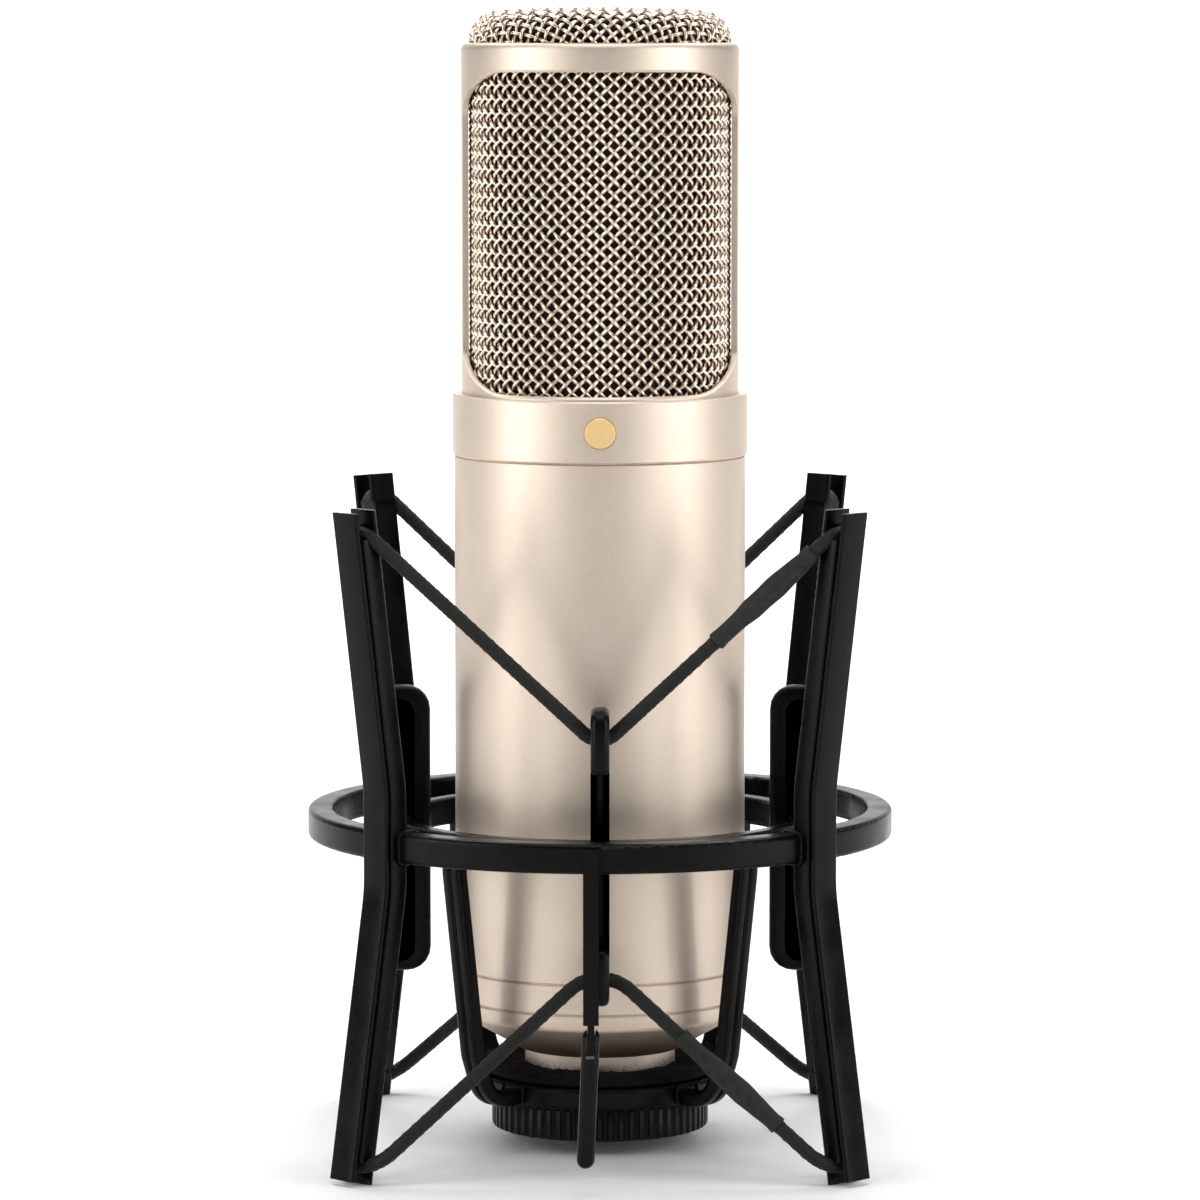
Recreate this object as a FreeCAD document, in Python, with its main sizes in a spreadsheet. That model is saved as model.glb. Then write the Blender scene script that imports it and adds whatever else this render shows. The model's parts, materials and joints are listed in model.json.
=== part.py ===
import FreeCAD, Part
import math
import os
import Sketcher

# Side-address condenser microphone in an elastic suspension mount.
# Millimetres, +Z up. The origin lies on the ground under the microphone's axis,
# and the microphone's front looks along -Y.

DIMENSIONS = [
    # microphone body, from its conical bottom to its domed top
    ("shell_radius", 30.0),
    ("shell_wall", 2.2),
    ("cap_bottom", 19.8),
    ("cap_top", 30.6),
    ("cap_round", 1.2),
    ("cone_foot", 17.0),
    ("cone_top", 27.4),
    ("cone_lift", 1.3),
    ("cone_inset", 0.6),
    ("band_top", 36.8),
    ("shell_top", 143.0),
    ("collar_top", 155.6),
    ("collar_radius", 30.4),
    ("seam", 0.35),
    # head cage and its mesh
    ("cage_radius", 28.5),
    ("cage_wall", 1.0),
    ("cage_top", 228.3),
    ("cage_rim_round", 0.7),
    ("window_bottom", 156.8),
    ("window_top", 222.6),
    ("window_sweep", 153.0),
    ("window_half_width", 28.0),
    ("window_corner", 8.5),
    ("grille_radius", 27.3),
    ("grille_gauge", 1.0),
    ("grille_top", 234.9),
    ("grille_shoulder", 6.5),
    ("grille_gap", 0.1),
    ("mesh_lift", 0.2),
    ("screen_radius", 25.4),
    ("screen_gauge", 0.5),
    ("screen_top", 232.9),
    ("screen_shoulder", 5.5),
    # badge on the collar
    ("badge_radius", 3.3),
    ("badge_depth", 2.0),
    ("badge_height", 149.3),
    ("badge_proud", 0.25),
    # threaded neck, connector and lock nut
    ("flange_radius", 15.6),
    ("flange_bottom", 16.5),
    ("neck_radius", 13.0),
    ("neck_bottom", 4.4),
    ("neck_bore", 9.5),
    ("neck_inside", 6.0),
    ("insert_bottom", 13.5),
    ("insert_top", 18.5),
    ("pin_radius", 0.75),
    ("pin_bottom", 8.4),
    ("pin_circle", 6.0),
    ("pin_tail", 3.0),
    ("nut_radius", 22.5),
    ("nut_bottom", 3.2),
    ("nut_top", 10.1),
    ("nut_chamfer", 1.0),
    ("nut_edge", 0.6),
    ("thread_gap", 0.08),
    # inside the shell
    ("floor_bottom", 144.0),
    ("floor_radius", 27.0),
    ("floor_gauge", 3.0),
    ("bulkhead_radius", 26.0),
    ("bulkhead_gauge", 1.5),
    ("chassis_radius", 22.0),
    ("chassis_width", 6.0),
    ("chassis_depth", 4.0),
    ("board_width", 44.0),
    ("board_height", 62.0),
    ("board_bottom", 74.0),
    ("board_gauge", 1.6),
    ("board_forward", 3.0),
    ("core_width", 26.0),
    ("core_depth", 22.0),
    ("core_height", 24.0),
    ("small_can_radius", 3.0),
    ("large_can_radius", 4.0),
    ("can_length", 12.0),
    ("can_height", 82.0),
    ("can_spacing", 10.0),
    ("capsule_height", 192.0),
    ("capsule_radius", 16.5),
    ("capsule_depth", 11.0),
    ("membrane_radius", 12.7),
    ("membrane_gauge", 0.6),
    ("saddle_width", 24.0),
    ("saddle_depth", 9.0),
    ("saddle_drop", 4.0),
    ("post_width", 12.0),
    ("post_depth", 8.0),
    ("valve_radius", 9.0),
    ("valve_height", 42.0),
    ("valve_round", 5.0),
    ("valve_back", 7.5),
    ("valve_seat_radius", 10.5),
    ("valve_seat_gauge", 6.0),
    # outer frame: ring and four bent box-section uprights
    ("ring_radius", 60.5),
    ("ring_width", 5.2),
    ("ring_bottom", 64.1),
    ("ring_top", 70.1),
    ("ring_edge", 0.9),
    ("rail_width", 6.8),
    ("rail_depth", 6.2),
    ("rail_wall", 1.2),
    ("top_notch", 5.8),
    ("foot_notch", 4.8),
    ("rail_top", 135.4),
    ("rail_top_radius", 68.9),
    ("rail_knee_radius", 60.75),
    ("rail_foot_radius", 70.45),
    ("rail_knee_top", 78.7),
    ("rail_knee_bottom", 58.5),
    # cradle: inner hoop, hooks, arms and base plate
    ("hoop_inner", 39.75),
    ("hoop_outer", 43.7),
    ("hoop_bottom", 62.5),
    ("hoop_top", 68.3),
    ("hook_inner", 35.2),
    ("hook_bar", 4.5),
    ("hook_outer", 49.0),
    ("hook_tab", 3.2),
    ("hook_gauge", 3.8),
    ("hook_arch", 4.2),
    ("hook_bend", 3.4),
    ("hook_top", 95.1),
    ("hook_bottom", 35.4),
    ("hook_back_round", 5.0),
    ("hook_front_round", 3.0),
    ("tab_round", 1.4),
    ("upper_tab_end", 82.0),
    ("lower_tab_end", 47.0),
    ("arm_width", 5.0),
    ("arm_gauge", 3.0),
    ("arm_bend_radius", 36.0),
    ("arm_bend_height", 22.0),
    ("arm_foot_inset", 5.0),
    ("arm_foot_reach", 18.0),
    ("arm_foot_round", 7.0),
    ("arm_inner_round", 5.0),
    ("arm_bend_round", 8.0),
    ("base_radius", 25.5),
    ("base_bottom", 10.2),
    ("base_top", 14.7),
    ("base_bore", 14.0),
    ("felt_radius", 24.5),
    # elastic cords
    ("cord_radius", 1.4),
    ("cord_clearance", 0.2),
    ("upper_hook_radius", 43.3),
    ("upper_hook_corner", 87.2),
    ("upper_hook_bend", 4.5),
    ("upper_rail_radius", 71.25),
    ("upper_rail_corner", 134.7),
    ("upper_rail_bend", 4.0),
    ("lower_hook_radius", 43.0),
    ("lower_hook_corner", 43.8),
    ("lower_hook_bend", 9.0),
    ("lower_rail_radius", 76.9),
    ("lower_rail_corner", -4.74),
    ("lower_rail_bend", 8.0),
    ("sleeve_length", 26.6),
    ("sleeve_end_radius", 1.8),
    ("sleeve_swell_radius", 2.3),
    # front strap with its lever, rear strap with the stand socket
    ("strap_width", 3.1),
    ("strap_gauge", 2.6),
    ("strap_bottom", 28.6),
    ("strap_shoulder", 34.4),
    ("tongue_width", 1.4),
    ("strap_shift", 1.8),
    ("pivot_height", 31.6),
    ("pivot_radius", 0.8),
    ("lever_width", 3.6),
    ("lever_gauge", 3.4),
    ("lever_bottom", 5.6),
    ("lever_crown", 2.1),
    ("lever_round", 1.5),
    ("lever_slot_depth", 4.0),
    ("fork_gap", 0.15),
    ("strap_room", 0.8),
    ("pin_inset", 0.1),
    ("strap_gap", 0.05),
    ("rear_gauge", 3.0),
    ("socket_bore", 7.94),
    ("socket_radius", 11.0),
    ("socket_top", 36.0),
    ("socket_bottom", 14.0),
    ("tilt_height", 46.0),
    ("tilt_reach", 71.0),
    ("tilt_eye", 5.5),
    ("bolt_radius", 2.5),
    ("bolt_gap", 0.05),
    ("bolt_length", 18.0),
    ("bolt_head_radius", 4.2),
    ("bolt_head_gauge", 2.6),
    ("ear_gauge", 3.0),
    ("ear_start", 1.7),
    ("lug_sink", 4.0),
    ("socket_thread", 17.0),
    ("knob_start", 5.0),
    ("knob_radius", 8.0),
    ("knob_gauge", 7.0),
]

document = FreeCAD.newDocument("condenser_microphone")
sheet = document.addObject("Spreadsheet::Sheet", "Dims")
for row, (alias, value) in enumerate(DIMENSIONS, start=1):
    sheet.set("A%d" % row, alias.replace("_", " "))
    sheet.set("B%d" % row, str(value))
    sheet.setAlias("B%d" % row, alias)
document.recompute()

PARTS = []
NEAR = 0.01
PARALLEL = 0.99
PIN_COUNT = 7
PIN_STEP = 45.0
END_GAP = 0.1
VOLUME_SLACK = 0.01
MOST_LEFT = 0.8
UPPER_SPLIT = 0.648
LOWER_SPLIT = 0.476
UP = FreeCAD.Vector(0, 0, 1)
ORIGIN = FreeCAD.Vector(0, 0, 0)
QUARTERS = [("front", -90.0), ("right", 0.0), ("rear", 90.0), ("left", 180.0)]
CORNERS = [("front_right", -45.0), ("rear_right", 45.0), ("rear_left", 135.0), ("front_left", -135.0)]


def number(expression):
    """The value of an expression in the sheet's aliases."""
    return float(sheet.evalExpression(expression))


def bind(thing, **formulas):
    """Drives an object's properties from expressions in the sheet's aliases."""
    for name, formula in formulas.items():
        thing.setExpression(name, qualified(formula))


def qualified(formula):
    """The formula as another object writes it, with the sheet's name before each alias."""
    words = []
    for word in formula.split(" "):
        bare = word.strip("()")
        if bare in ALIASES:
            word = word.replace(bare, "Dims." + bare)
        words.append(word)
    return " ".join(words)


ALIASES = {alias for alias, value in DIMENSIONS}


def keep(thing, name):
    """Marks an object as a finished sub-part and names it."""
    thing.Label = name
    PARTS.append(thing)
    return thing


def origin_plane(body, role):
    return [feature for feature in body.Origin.OriginFeatures if feature.Role == role][0]


def closed_sketch(body, name, outline):
    """A closed outline in the XZ plane, of straight sides whose corners are pinned to expressions."""
    sketch = body.newObject("Sketcher::SketchObject", name)
    sketch.AttachmentSupport = (origin_plane(body, "XZ_Plane"), [""])
    sketch.MapMode = "FlatFace"
    points = [FreeCAD.Vector(number(x), number(y), 0) for x, y in outline]
    count = len(points)
    for index in range(count):
        sketch.addGeometry(Part.LineSegment(points[index], points[(index + 1) % count]))
    for index in range(count):
        sketch.addConstraint(Sketcher.Constraint("Coincident", index, 2, (index + 1) % count, 1))
    for index, corner in enumerate(outline):
        for kind, axis, formula in (("DistanceX", -2, corner[0]), ("DistanceY", -1, corner[1])):
            if formula == "0":
                sketch.addConstraint(Sketcher.Constraint("PointOnObject", index, 1, axis))
                continue
            rule = sketch.addConstraint(Sketcher.Constraint(kind, -1, 1, index, 1, number(formula)))
            sketch.setExpression("Constraints[%d]" % rule, qualified(formula))
    return sketch


def round_edges(body, base, rounds):
    """Fillets the circular or straight edges that a corner of the outline has made."""
    for count, (x, z, radius) in enumerate(rounds, start=1):
        document.recompute()
        place = (number(x), number(z))
        chosen = []
        for index, edge in enumerate(base.Shape.Edges, start=1):
            ends = [(vertex.X, vertex.Z) for vertex in edge.Vertexes]
            if all(math.dist(end, place) < NEAR for end in ends):
                chosen.append("Edge%d" % index)
        fillet = body.newObject("PartDesign::Fillet", "%s_Round%d" % (body.Name, count))
        fillet.Base = (base, chosen)
        bind(fillet, Radius=radius)
        base = fillet
    return base


def lathe(name, outline, rounds=()):
    """A turned piece: an outline of radius and height pairs spun about the Z axis."""
    body = document.addObject("PartDesign::Body", name)
    sketch = closed_sketch(body, name + "_Profile", outline)
    turned = body.newObject("PartDesign::Revolution", name + "_Turned")
    turned.Profile = sketch
    turned.ReferenceAxis = (sketch, ["V_Axis"])
    turned.Angle = 360
    round_edges(body, turned, rounds)
    return body


def plate(name, outline, gauge, azimuth=0.0, rounds=()):
    """A flat piece of one gauge, standing in the plane through the Z axis at an azimuth."""
    body = document.addObject("PartDesign::Body", name)
    sketch = closed_sketch(body, name + "_Profile", outline)
    pad = body.newObject("PartDesign::Pad", name + "_Pad")
    pad.Profile = sketch
    pad.SideType = "Symmetric"
    bind(pad, Length=gauge)
    round_edges(body, pad, rounds)
    body.Placement = FreeCAD.Placement(ORIGIN, FreeCAD.Rotation(UP, azimuth))
    return body


def cylinder(name, radius, height, place=("0", "0", "0"), direction=UP):
    """A cylinder whose foot is centred on a place."""
    solid = document.addObject("Part::Cylinder", name)
    bind(solid, Radius=radius, Height=height)
    solid.Placement.Rotation = FreeCAD.Rotation(UP, direction)
    pin_to(solid, place)
    return solid


def block(name, size, place):
    """A box with its own corner at a place."""
    solid = document.addObject("Part::Box", name)
    bind(solid, Length=size[0], Width=size[1], Height=size[2])
    pin_to(solid, place)
    return solid


def pin_to(solid, place):
    """Binds an object's place, three expressions, to the sheet."""
    for axis, formula in zip("xyz", place):
        solid.setExpression("Placement.Base." + axis, qualified(formula))


def boolean(kind, name, base, tool):
    solid = document.addObject("Part::" + kind, name)
    solid.Base = base
    solid.Tool = tool
    return solid


def fillet(name, base, radius, chosen):
    """Rounds the edges of a recomputed solid for which a test holds."""
    solid = document.addObject("Part::Fillet", name)
    solid.Base = base
    solid.Edges = [(index, radius, radius) for index, edge in enumerate(base.Shape.Edges, start=1)
                   if chosen(edge)]
    return solid


def group(name, members):
    """Separate solids that share one node."""
    solid = document.addObject("Part::Compound", name)
    solid.Links = members
    return solid


def tube_outline(inner, outer, bottom, top):
    return [(inner, bottom), (outer, bottom), (outer, top), (inner, top)]


def seamed_tube(inner, outer, bottom, top):
    """A tube outline with its outer corners broken, which makes the seam lines between shells."""
    low = "%s + seam" % bottom
    high = "%s - seam" % top
    edge = "%s - seam" % outer
    return [(inner, bottom), (edge, bottom), (outer, low), (outer, high), (edge, top), (inner, top)]


def along(azimuth, radius, height):
    """The point at a radius and a height in the direction of an azimuth."""
    turn = math.radians(azimuth)
    return FreeCAD.Vector(radius * math.cos(turn), radius * math.sin(turn), height)


# Microphone shells.

def make_bottom_cap():
    """A short band that turns in with a soft crease to a cone round the neck."""
    inner = "shell_radius - shell_wall"
    outline = [
        ("neck_radius", "cap_bottom"),
        ("cone_foot", "cap_bottom"),
        ("shell_radius", "cone_top"),
        ("shell_radius", "cap_top - seam"),
        ("shell_radius - seam", "cap_top"),
        (inner, "cap_top"),
        (inner, "cone_top + cone_lift"),
        ("cone_foot - cone_inset", "cap_bottom + shell_wall"),
        ("neck_radius", "cap_bottom + shell_wall"),
    ]
    keep(lathe("bottom_cap", outline, [("shell_radius", "cone_top", "cap_round")]), "bottom_cap")


def make_shells():
    inner = "shell_radius - shell_wall"
    keep(lathe("lower_band", seamed_tube(inner, "shell_radius", "cap_top", "band_top")), "lower_band")
    keep(lathe("body_tube", seamed_tube(inner, "shell_radius", "band_top", "shell_top")), "body_tube")
    ring = lathe("collar_blank", seamed_tube("floor_radius", "collar_radius", "shell_top", "collar_top"))
    hole = cylinder("badge_seat", "badge_radius", "badge_depth + 1",
                    ("0", "badge_depth - collar_radius", "badge_height"), FreeCAD.Vector(0, -1, 0))
    keep(boolean("Cut", "collar_cut", ring, hole), "collar")
    button = cylinder("badge_blank", "badge_radius", "badge_depth + badge_proud",
                      ("0", "badge_depth - collar_radius", "badge_height"), FreeCAD.Vector(0, -1, 0))
    keep(button, "badge")


def make_head_cage():
    inner = "cage_radius - cage_wall"
    rim = "grille_radius + grille_gap"
    outline = [
        (inner, "collar_top"),
        ("cage_radius", "collar_top"),
        ("cage_radius", "cage_top"),
        (rim, "cage_top"),
        (rim, "window_top + 2 * grille_gap"),
        (inner, "window_top + grille_gap"),
    ]
    blank = lathe("cage_blank", outline, [("cage_radius", "cage_top", "cage_rim_round")])
    sectors = []
    for name, azimuth in (("front", -90.0), ("rear", 90.0)):
        sector = document.addObject("Part::Cylinder", "window_sector_" + name)
        bind(sector, Radius="2 * cage_radius", Height="window_top - window_bottom", Angle="window_sweep")
        sector.Placement.Rotation = FreeCAD.Rotation(UP, azimuth - number("window_sweep") / 2)
        pin_to(sector, ("0", "0", "window_bottom"))
        sectors.append(sector)
    both = boolean("Fuse", "window_sectors", *sectors)
    slab = block("window_slab",
                 ("2 * window_half_width", "4 * cage_radius", "window_top - window_bottom"),
                 ("0 - window_half_width", "0 - 2 * cage_radius", "window_bottom"))
    document.recompute()
    corner = number("window_corner")
    rounded = fillet("window_rounded", slab, corner, lambda edge: abs(edge.tangentAt(0).y) > PARALLEL)
    window = boolean("Common", "window_tool", both, rounded)
    keep(boolean("Cut", "cage_cut", blank, window), "head_cage")


def make_mesh(name, radius, gauge, top, shoulder):
    """A thin domed basket, open at its foot."""
    inner = "%s - %s" % (radius, gauge)
    under = "%s - %s" % (top, gauge)
    outline = [
        (inner, "collar_top + mesh_lift"),
        (radius, "collar_top + mesh_lift"),
        (radius, top),
        ("0", top),
        ("0", under),
        (inner, under),
    ]
    rounds = [(radius, top, shoulder), (inner, under, "%s - %s" % (shoulder, gauge))]
    keep(lathe(name, outline, rounds), name)


# Neck, connector and lock nut.

def make_neck():
    outline = [
        ("neck_bore", "neck_bottom"),
        ("neck_radius", "neck_bottom"),
        ("neck_radius", "flange_bottom"),
        ("flange_radius", "flange_bottom"),
        ("flange_radius", "cap_bottom"),
        ("neck_radius", "cap_bottom"),
        ("neck_radius", "cap_bottom + neck_inside"),
        ("neck_bore", "cap_bottom + neck_inside"),
    ]
    keep(lathe("neck_body", outline), "threaded_neck")


def make_connector():
    insert = cylinder("insert_blank", "neck_bore", "insert_top - insert_bottom", ("0", "0", "insert_bottom"))
    pins = []
    holes = []
    for index in range(PIN_COUNT):
        turn = index * PIN_STEP - PIN_STEP * (PIN_COUNT - 1) / 2
        place = ("pin_circle * cos( %g )" % turn, "pin_circle * sin( %g )" % turn, "pin_bottom")
        for made, name in ((pins, "pin"), (holes, "pin_hole")):
            length = "insert_top - pin_bottom + pin_tail"
            made.append(cylinder("%s_%d" % (name, index + 1), "pin_radius", length, place))
    keep(boolean("Cut", "insert_cut", insert, group("pin_holes", holes)), "connector_insert")
    keep(group("pin_group", pins), "connector_pins")


def make_lock_nut():
    outline = [
        ("neck_radius + thread_gap", "nut_bottom"),
        ("nut_radius - nut_chamfer", "nut_bottom"),
        ("nut_radius", "nut_bottom + nut_chamfer"),
        ("nut_radius", "nut_top - nut_edge"),
        ("nut_radius - nut_edge", "nut_top"),
        ("neck_radius + thread_gap", "nut_top"),
    ]
    keep(lathe("nut_body", outline), "lock_nut")


# Inside the microphone.

def make_chassis():
    """The floor of the head, two bars that carry it and the ring that carries them."""
    floor = tube_outline("0", "floor_radius", "floor_bottom", "floor_bottom + floor_gauge")
    keep(lathe("floor_body", floor), "head_floor")
    for name, side in (("left_chassis_bar", "0 - chassis_radius - chassis_depth / 2"),
                       ("right_chassis_bar", "chassis_radius - chassis_depth / 2")):
        bar = block(name, ("chassis_depth", "chassis_width", "floor_bottom - cap_top"),
                    (side, "0 - chassis_width / 2", "cap_top"))
        keep(bar, name)
    ring = tube_outline("neck_radius", "bulkhead_radius", "cap_top - bulkhead_gauge", "cap_top")
    keep(lathe("bulkhead_body", ring), "chassis_bulkhead")


def make_electronics():
    """The board with its cans in front, the valve behind it and the transformer below."""
    keep(block("board", ("board_width", "board_gauge", "board_height"),
               ("0 - board_width / 2", "0 - board_gauge - board_forward", "board_bottom")), "circuit_board")
    keep(block("core", ("core_width", "core_depth", "core_height"),
               ("0 - core_width / 2", "0 - core_depth / 2", "cap_top")), "output_transformer")
    forward = FreeCAD.Vector(0, -1, 0)
    cans = []
    for step, radius in ((-1, "small_can_radius"), (0, "small_can_radius"), (1, "large_can_radius")):
        place = ("can_spacing * %d" % step, "0 - board_gauge - board_forward", "can_height")
        cans.append(cylinder("can_%d" % (step + 2), radius, "can_length", place, forward))
    keep(group("can_group", cans), "capacitors")
    socket = cylinder("socket_block", "valve_seat_radius", "valve_seat_gauge",
                      ("0", "valve_back", "board_bottom - valve_seat_gauge"))
    keep(socket, "valve_socket")
    glass = cylinder("valve_barrel", "valve_radius", "valve_height", ("0", "valve_back", "board_bottom"))
    document.recompute()
    crown = number("board_bottom + valve_height")
    keep(fillet("valve_dome", glass, number("valve_round"),
                lambda edge: edge.Closed and abs(edge.CenterOfMass.z - crown) < NEAR), "vacuum_valve")


def make_capsule():
    """The twin-membrane capsule on its saddle and post."""
    foot = "floor_bottom + floor_gauge"
    seat = "capsule_height - capsule_radius - saddle_drop"
    backward = FreeCAD.Vector(0, 1, 0)
    post = block("post_block", ("post_width", "post_depth", "%s - ( %s )" % (seat, foot)),
                 ("0 - post_width / 2", "0 - post_depth / 2", foot))
    keep(post, "capsule_post")
    saddle = block("saddle_block", ("saddle_width", "saddle_depth", "saddle_depth"),
                   ("0 - saddle_width / 2", "0 - saddle_depth / 2", seat))
    bed = cylinder("saddle_bed", "capsule_radius", "2 * saddle_depth",
                   ("0", "0 - saddle_depth", "capsule_height"), backward)
    keep(boolean("Cut", "saddle_cut", saddle, bed), "capsule_saddle")
    drum = cylinder("capsule_drum", "capsule_radius", "capsule_depth",
                    ("0", "0 - capsule_depth / 2", "capsule_height"), backward)
    keep(drum, "capsule_body")
    for name, start in (("front_diaphragm", "0 - capsule_depth / 2 - membrane_gauge"),
                        ("rear_diaphragm", "capsule_depth / 2")):
        disc = cylinder(name, "membrane_radius", "membrane_gauge", ("0", start, "capsule_height"), backward)
        keep(disc, name)


# Outer frame.

def make_ring():
    outline = tube_outline("ring_radius - ring_width", "ring_radius", "ring_bottom", "ring_top")
    rounds = [
        ("ring_radius", "ring_top", "ring_edge"),
        ("ring_radius", "ring_bottom", "ring_edge"),
        ("ring_radius - ring_width", "ring_top", "ring_edge"),
        ("ring_radius - ring_width", "ring_bottom", "ring_edge"),
    ]
    return keep(lathe("ring_body", outline, rounds), "outer_ring")


def rail_outline(inner, outer):
    """A bent strip between two offsets from the upright's centre line."""
    stations = [
        ("rail_foot_radius", "0"),
        ("rail_knee_radius", "rail_knee_bottom"),
        ("rail_knee_radius", "rail_knee_top"),
        ("rail_top_radius", "rail_top"),
    ]
    outside = [("%s + %s" % (radius, outer), height) for radius, height in stations]
    inside = [("%s + %s" % (radius, inner), height) for radius, height in stations]
    return outside + inside[::-1]


def notch_outline(end_radius, end_height, knee_height, depth):
    """The gap between an upright's inner and outer wall over one of its open ends."""
    side = "+" if end_height == "0" else "-"
    rise = "( %s - %s )" % ((knee_height, end_height) if side == "+" else (end_height, knee_height))
    slope = "( %s - rail_knee_radius ) / %s" % (end_radius, rise)
    deep = "%s - %s * %s" % (end_radius, depth, slope)
    height = "%s %s %s" % (end_height, side, depth)
    inner = "rail_wall - rail_depth / 2"
    outer = "rail_depth / 2 - rail_wall"
    return [
        ("%s + %s" % (deep, inner), height),
        ("%s + %s" % (deep, outer), height),
        ("%s + %s" % (end_radius, outer), end_height),
        ("%s + %s" % (end_radius, inner), end_height),
    ]


def pocket_through(body, name, outline, width):
    """Cuts an outline through a body over a width, to both sides of its middle plane."""
    pocket = body.newObject("PartDesign::Pocket", name)
    pocket.Profile = closed_sketch(body, name + "_Outline", outline)
    pocket.SideType = "Symmetric"
    bind(pocket, Length=width)
    document.recompute()
    return pocket


def make_upright(name, azimuth, ring, grooves):
    """A folded box section, open at both ends, where notches in its side walls let the cords in."""
    body = document.addObject("PartDesign::Body", name + "_blank")
    strip = closed_sketch(body, name + "_Strip", rail_outline("0 - rail_depth / 2", "rail_depth / 2"))
    pad = body.newObject("PartDesign::Pad", name + "_Pad")
    pad.Profile = strip
    pad.SideType = "Symmetric"
    bind(pad, Length="rail_width")
    document.recompute()
    solid = pad.Shape.Volume
    inside = rail_outline("rail_wall - rail_depth / 2", "rail_depth / 2 - rail_wall")
    hollow = pocket_through(body, name + "_Hollow", inside, "rail_width - 2 * rail_wall")
    if hollow.Shape.Volume > solid * MOST_LEFT:
        raise RuntimeError("the inside of %s was not cut" % name)
    pocket_through(body, name + "_TopNotch",
                   notch_outline("rail_top_radius", "rail_top", "rail_knee_top", "top_notch"),
                   "2 * rail_width")
    pocket_through(body, name + "_FootNotch",
                   notch_outline("rail_foot_radius", "0", "rail_knee_bottom", "foot_notch"),
                   "2 * rail_width")
    body.Placement = FreeCAD.Placement(ORIGIN, FreeCAD.Rotation(UP, azimuth))
    notched = boolean("Cut", name + "_notched", body, ring)
    for index, groove in enumerate(grooves, start=1):
        notched = boolean("Cut", "%s_groove_%d" % (name, index), notched, groove)
    keep(notched, name)


def cord_corners(level):
    """The eight corners of a loop's zigzag, hooks and uprights by turns, from the front hook."""
    places = []
    for stop in ("hook", "rail"):
        names = ["%s_%s_%s" % (level, stop, value) for value in ("radius", "corner", "bend")]
        places.append([number(name) for name in names])
    corners = []
    for step in range(8):
        radius, height, bend = places[step % 2]
        corners.append((along(-90.0 + 45.0 * step, radius, height), bend))
    return corners


def cord_path(corners, split):
    """A closed loop of straight runs and tangent arcs, cut open on the first run."""
    run = corners[1][0] - corners[0][0]
    start = corners[0][0] + run * split + run.normalize() * END_GAP
    stop = start - run * 2 * END_GAP
    stops = corners[1:] + corners[:1]
    edges = []
    here = start
    for index, (corner, radius) in enumerate(stops):
        before = corners[index][0]
        after = corners[(index + 2) % len(corners)][0]
        back = (before - corner).normalize()
        ahead = (after - corner).normalize()
        half = back.getAngle(ahead) / 2
        reach = radius / math.tan(half)
        enter = corner + back * reach
        leave = corner + ahead * reach
        middle = corner + (back + ahead).normalize() * (radius / math.sin(half) - radius)
        edges.append(Part.LineSegment(here, enter).toShape())
        edges.append(Part.Arc(enter, middle, leave).toShape())
        here = leave
    edges.append(Part.LineSegment(here, stop).toShape())
    return Part.Wire(edges), start, run


def cord_tube(name, path, start, direction, radius):
    section = Part.Wire(Part.makeCircle(radius, start, direction))
    tube = path.makePipeShell([section], True, False)
    ideal = math.pi * radius ** 2 * path.Length
    if abs(tube.Volume / ideal - 1) > VOLUME_SLACK:
        raise RuntimeError("%s has volume %.1f and not %.1f" % (name, tube.Volume, ideal))
    feature = document.addObject("Part::Feature", name)
    feature.Shape = tube
    feature.Placement = FreeCAD.Placement()
    return feature


def make_cord(level, split):
    """An elastic loop and the wider tube that clears its way through the uprights."""
    corners = cord_corners(level)
    path, start, direction = cord_path(corners, split)
    cord = cord_tube(level + "_cord_tube", path, start, direction, number("cord_radius"))
    keep(cord, level + "_cord")
    print("%s_cord is %.1f mm long" % (level, path.Length))
    reach = number("cord_radius + cord_clearance")
    return corners, cord_tube(level + "_cord_way", path, start, direction, reach)


def make_sleeve(name, corners, split):
    """The shrink sleeve over a cord's joined ends, swollen in the middle."""
    thin = "sleeve_end_radius"
    thick = "sleeve_swell_radius"
    body = lathe(name + "_body", [
        ("cord_radius", "0"),
        (thin, "0"),
        (thick, "sleeve_length * 0.4"),
        (thick, "sleeve_length * 0.65"),
        (thin, "sleeve_length"),
        ("cord_radius", "sleeve_length"),
    ])
    run = corners[1][0] - corners[0][0]
    foot = corners[0][0] + run * split - run.normalize() * number("sleeve_length / 2")
    body.Placement = FreeCAD.Placement(foot, FreeCAD.Rotation(UP, run))
    keep(body, name)


# Front strap and lever, rear strap and stand socket.

STRAP_FACE = "0 - ring_radius - strap_gap - strap_gauge"
STRAP_MIDDLE = "0 - ring_radius - strap_gap - strap_gauge / 2"
SIDEWAYS = FreeCAD.Vector(1, 0, 0)


def make_front_strap():
    """A strap on the ring whose narrower end takes the lever's fork."""
    strap = block("strap_block", ("strap_width", "strap_gauge", "ring_top - ring_edge - strap_shoulder"),
                  ("0 - strap_shift - strap_width / 2", STRAP_FACE, "strap_shoulder"))
    tongue = block("strap_tongue", ("tongue_width", "strap_gauge", "strap_shoulder - strap_bottom"),
                   ("0 - strap_shift - tongue_width / 2", STRAP_FACE, "strap_bottom"))
    whole = boolean("Fuse", "strap_whole", strap, tongue)
    pin_room = cylinder("strap_eye", "pivot_radius", "2 * strap_width",
                        ("0 - strap_shift - strap_width", STRAP_MIDDLE, "pivot_height"), SIDEWAYS)
    keep(boolean("Cut", "strap_cut", whole, pin_room), "front_strap")
    pin = cylinder("pivot_blank", "pivot_radius", "lever_width - 2 * pin_inset",
                   ("pin_inset - strap_shift - lever_width / 2", STRAP_MIDDLE, "pivot_height"), SIDEWAYS)
    keep(pin, "lever_pin")


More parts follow.
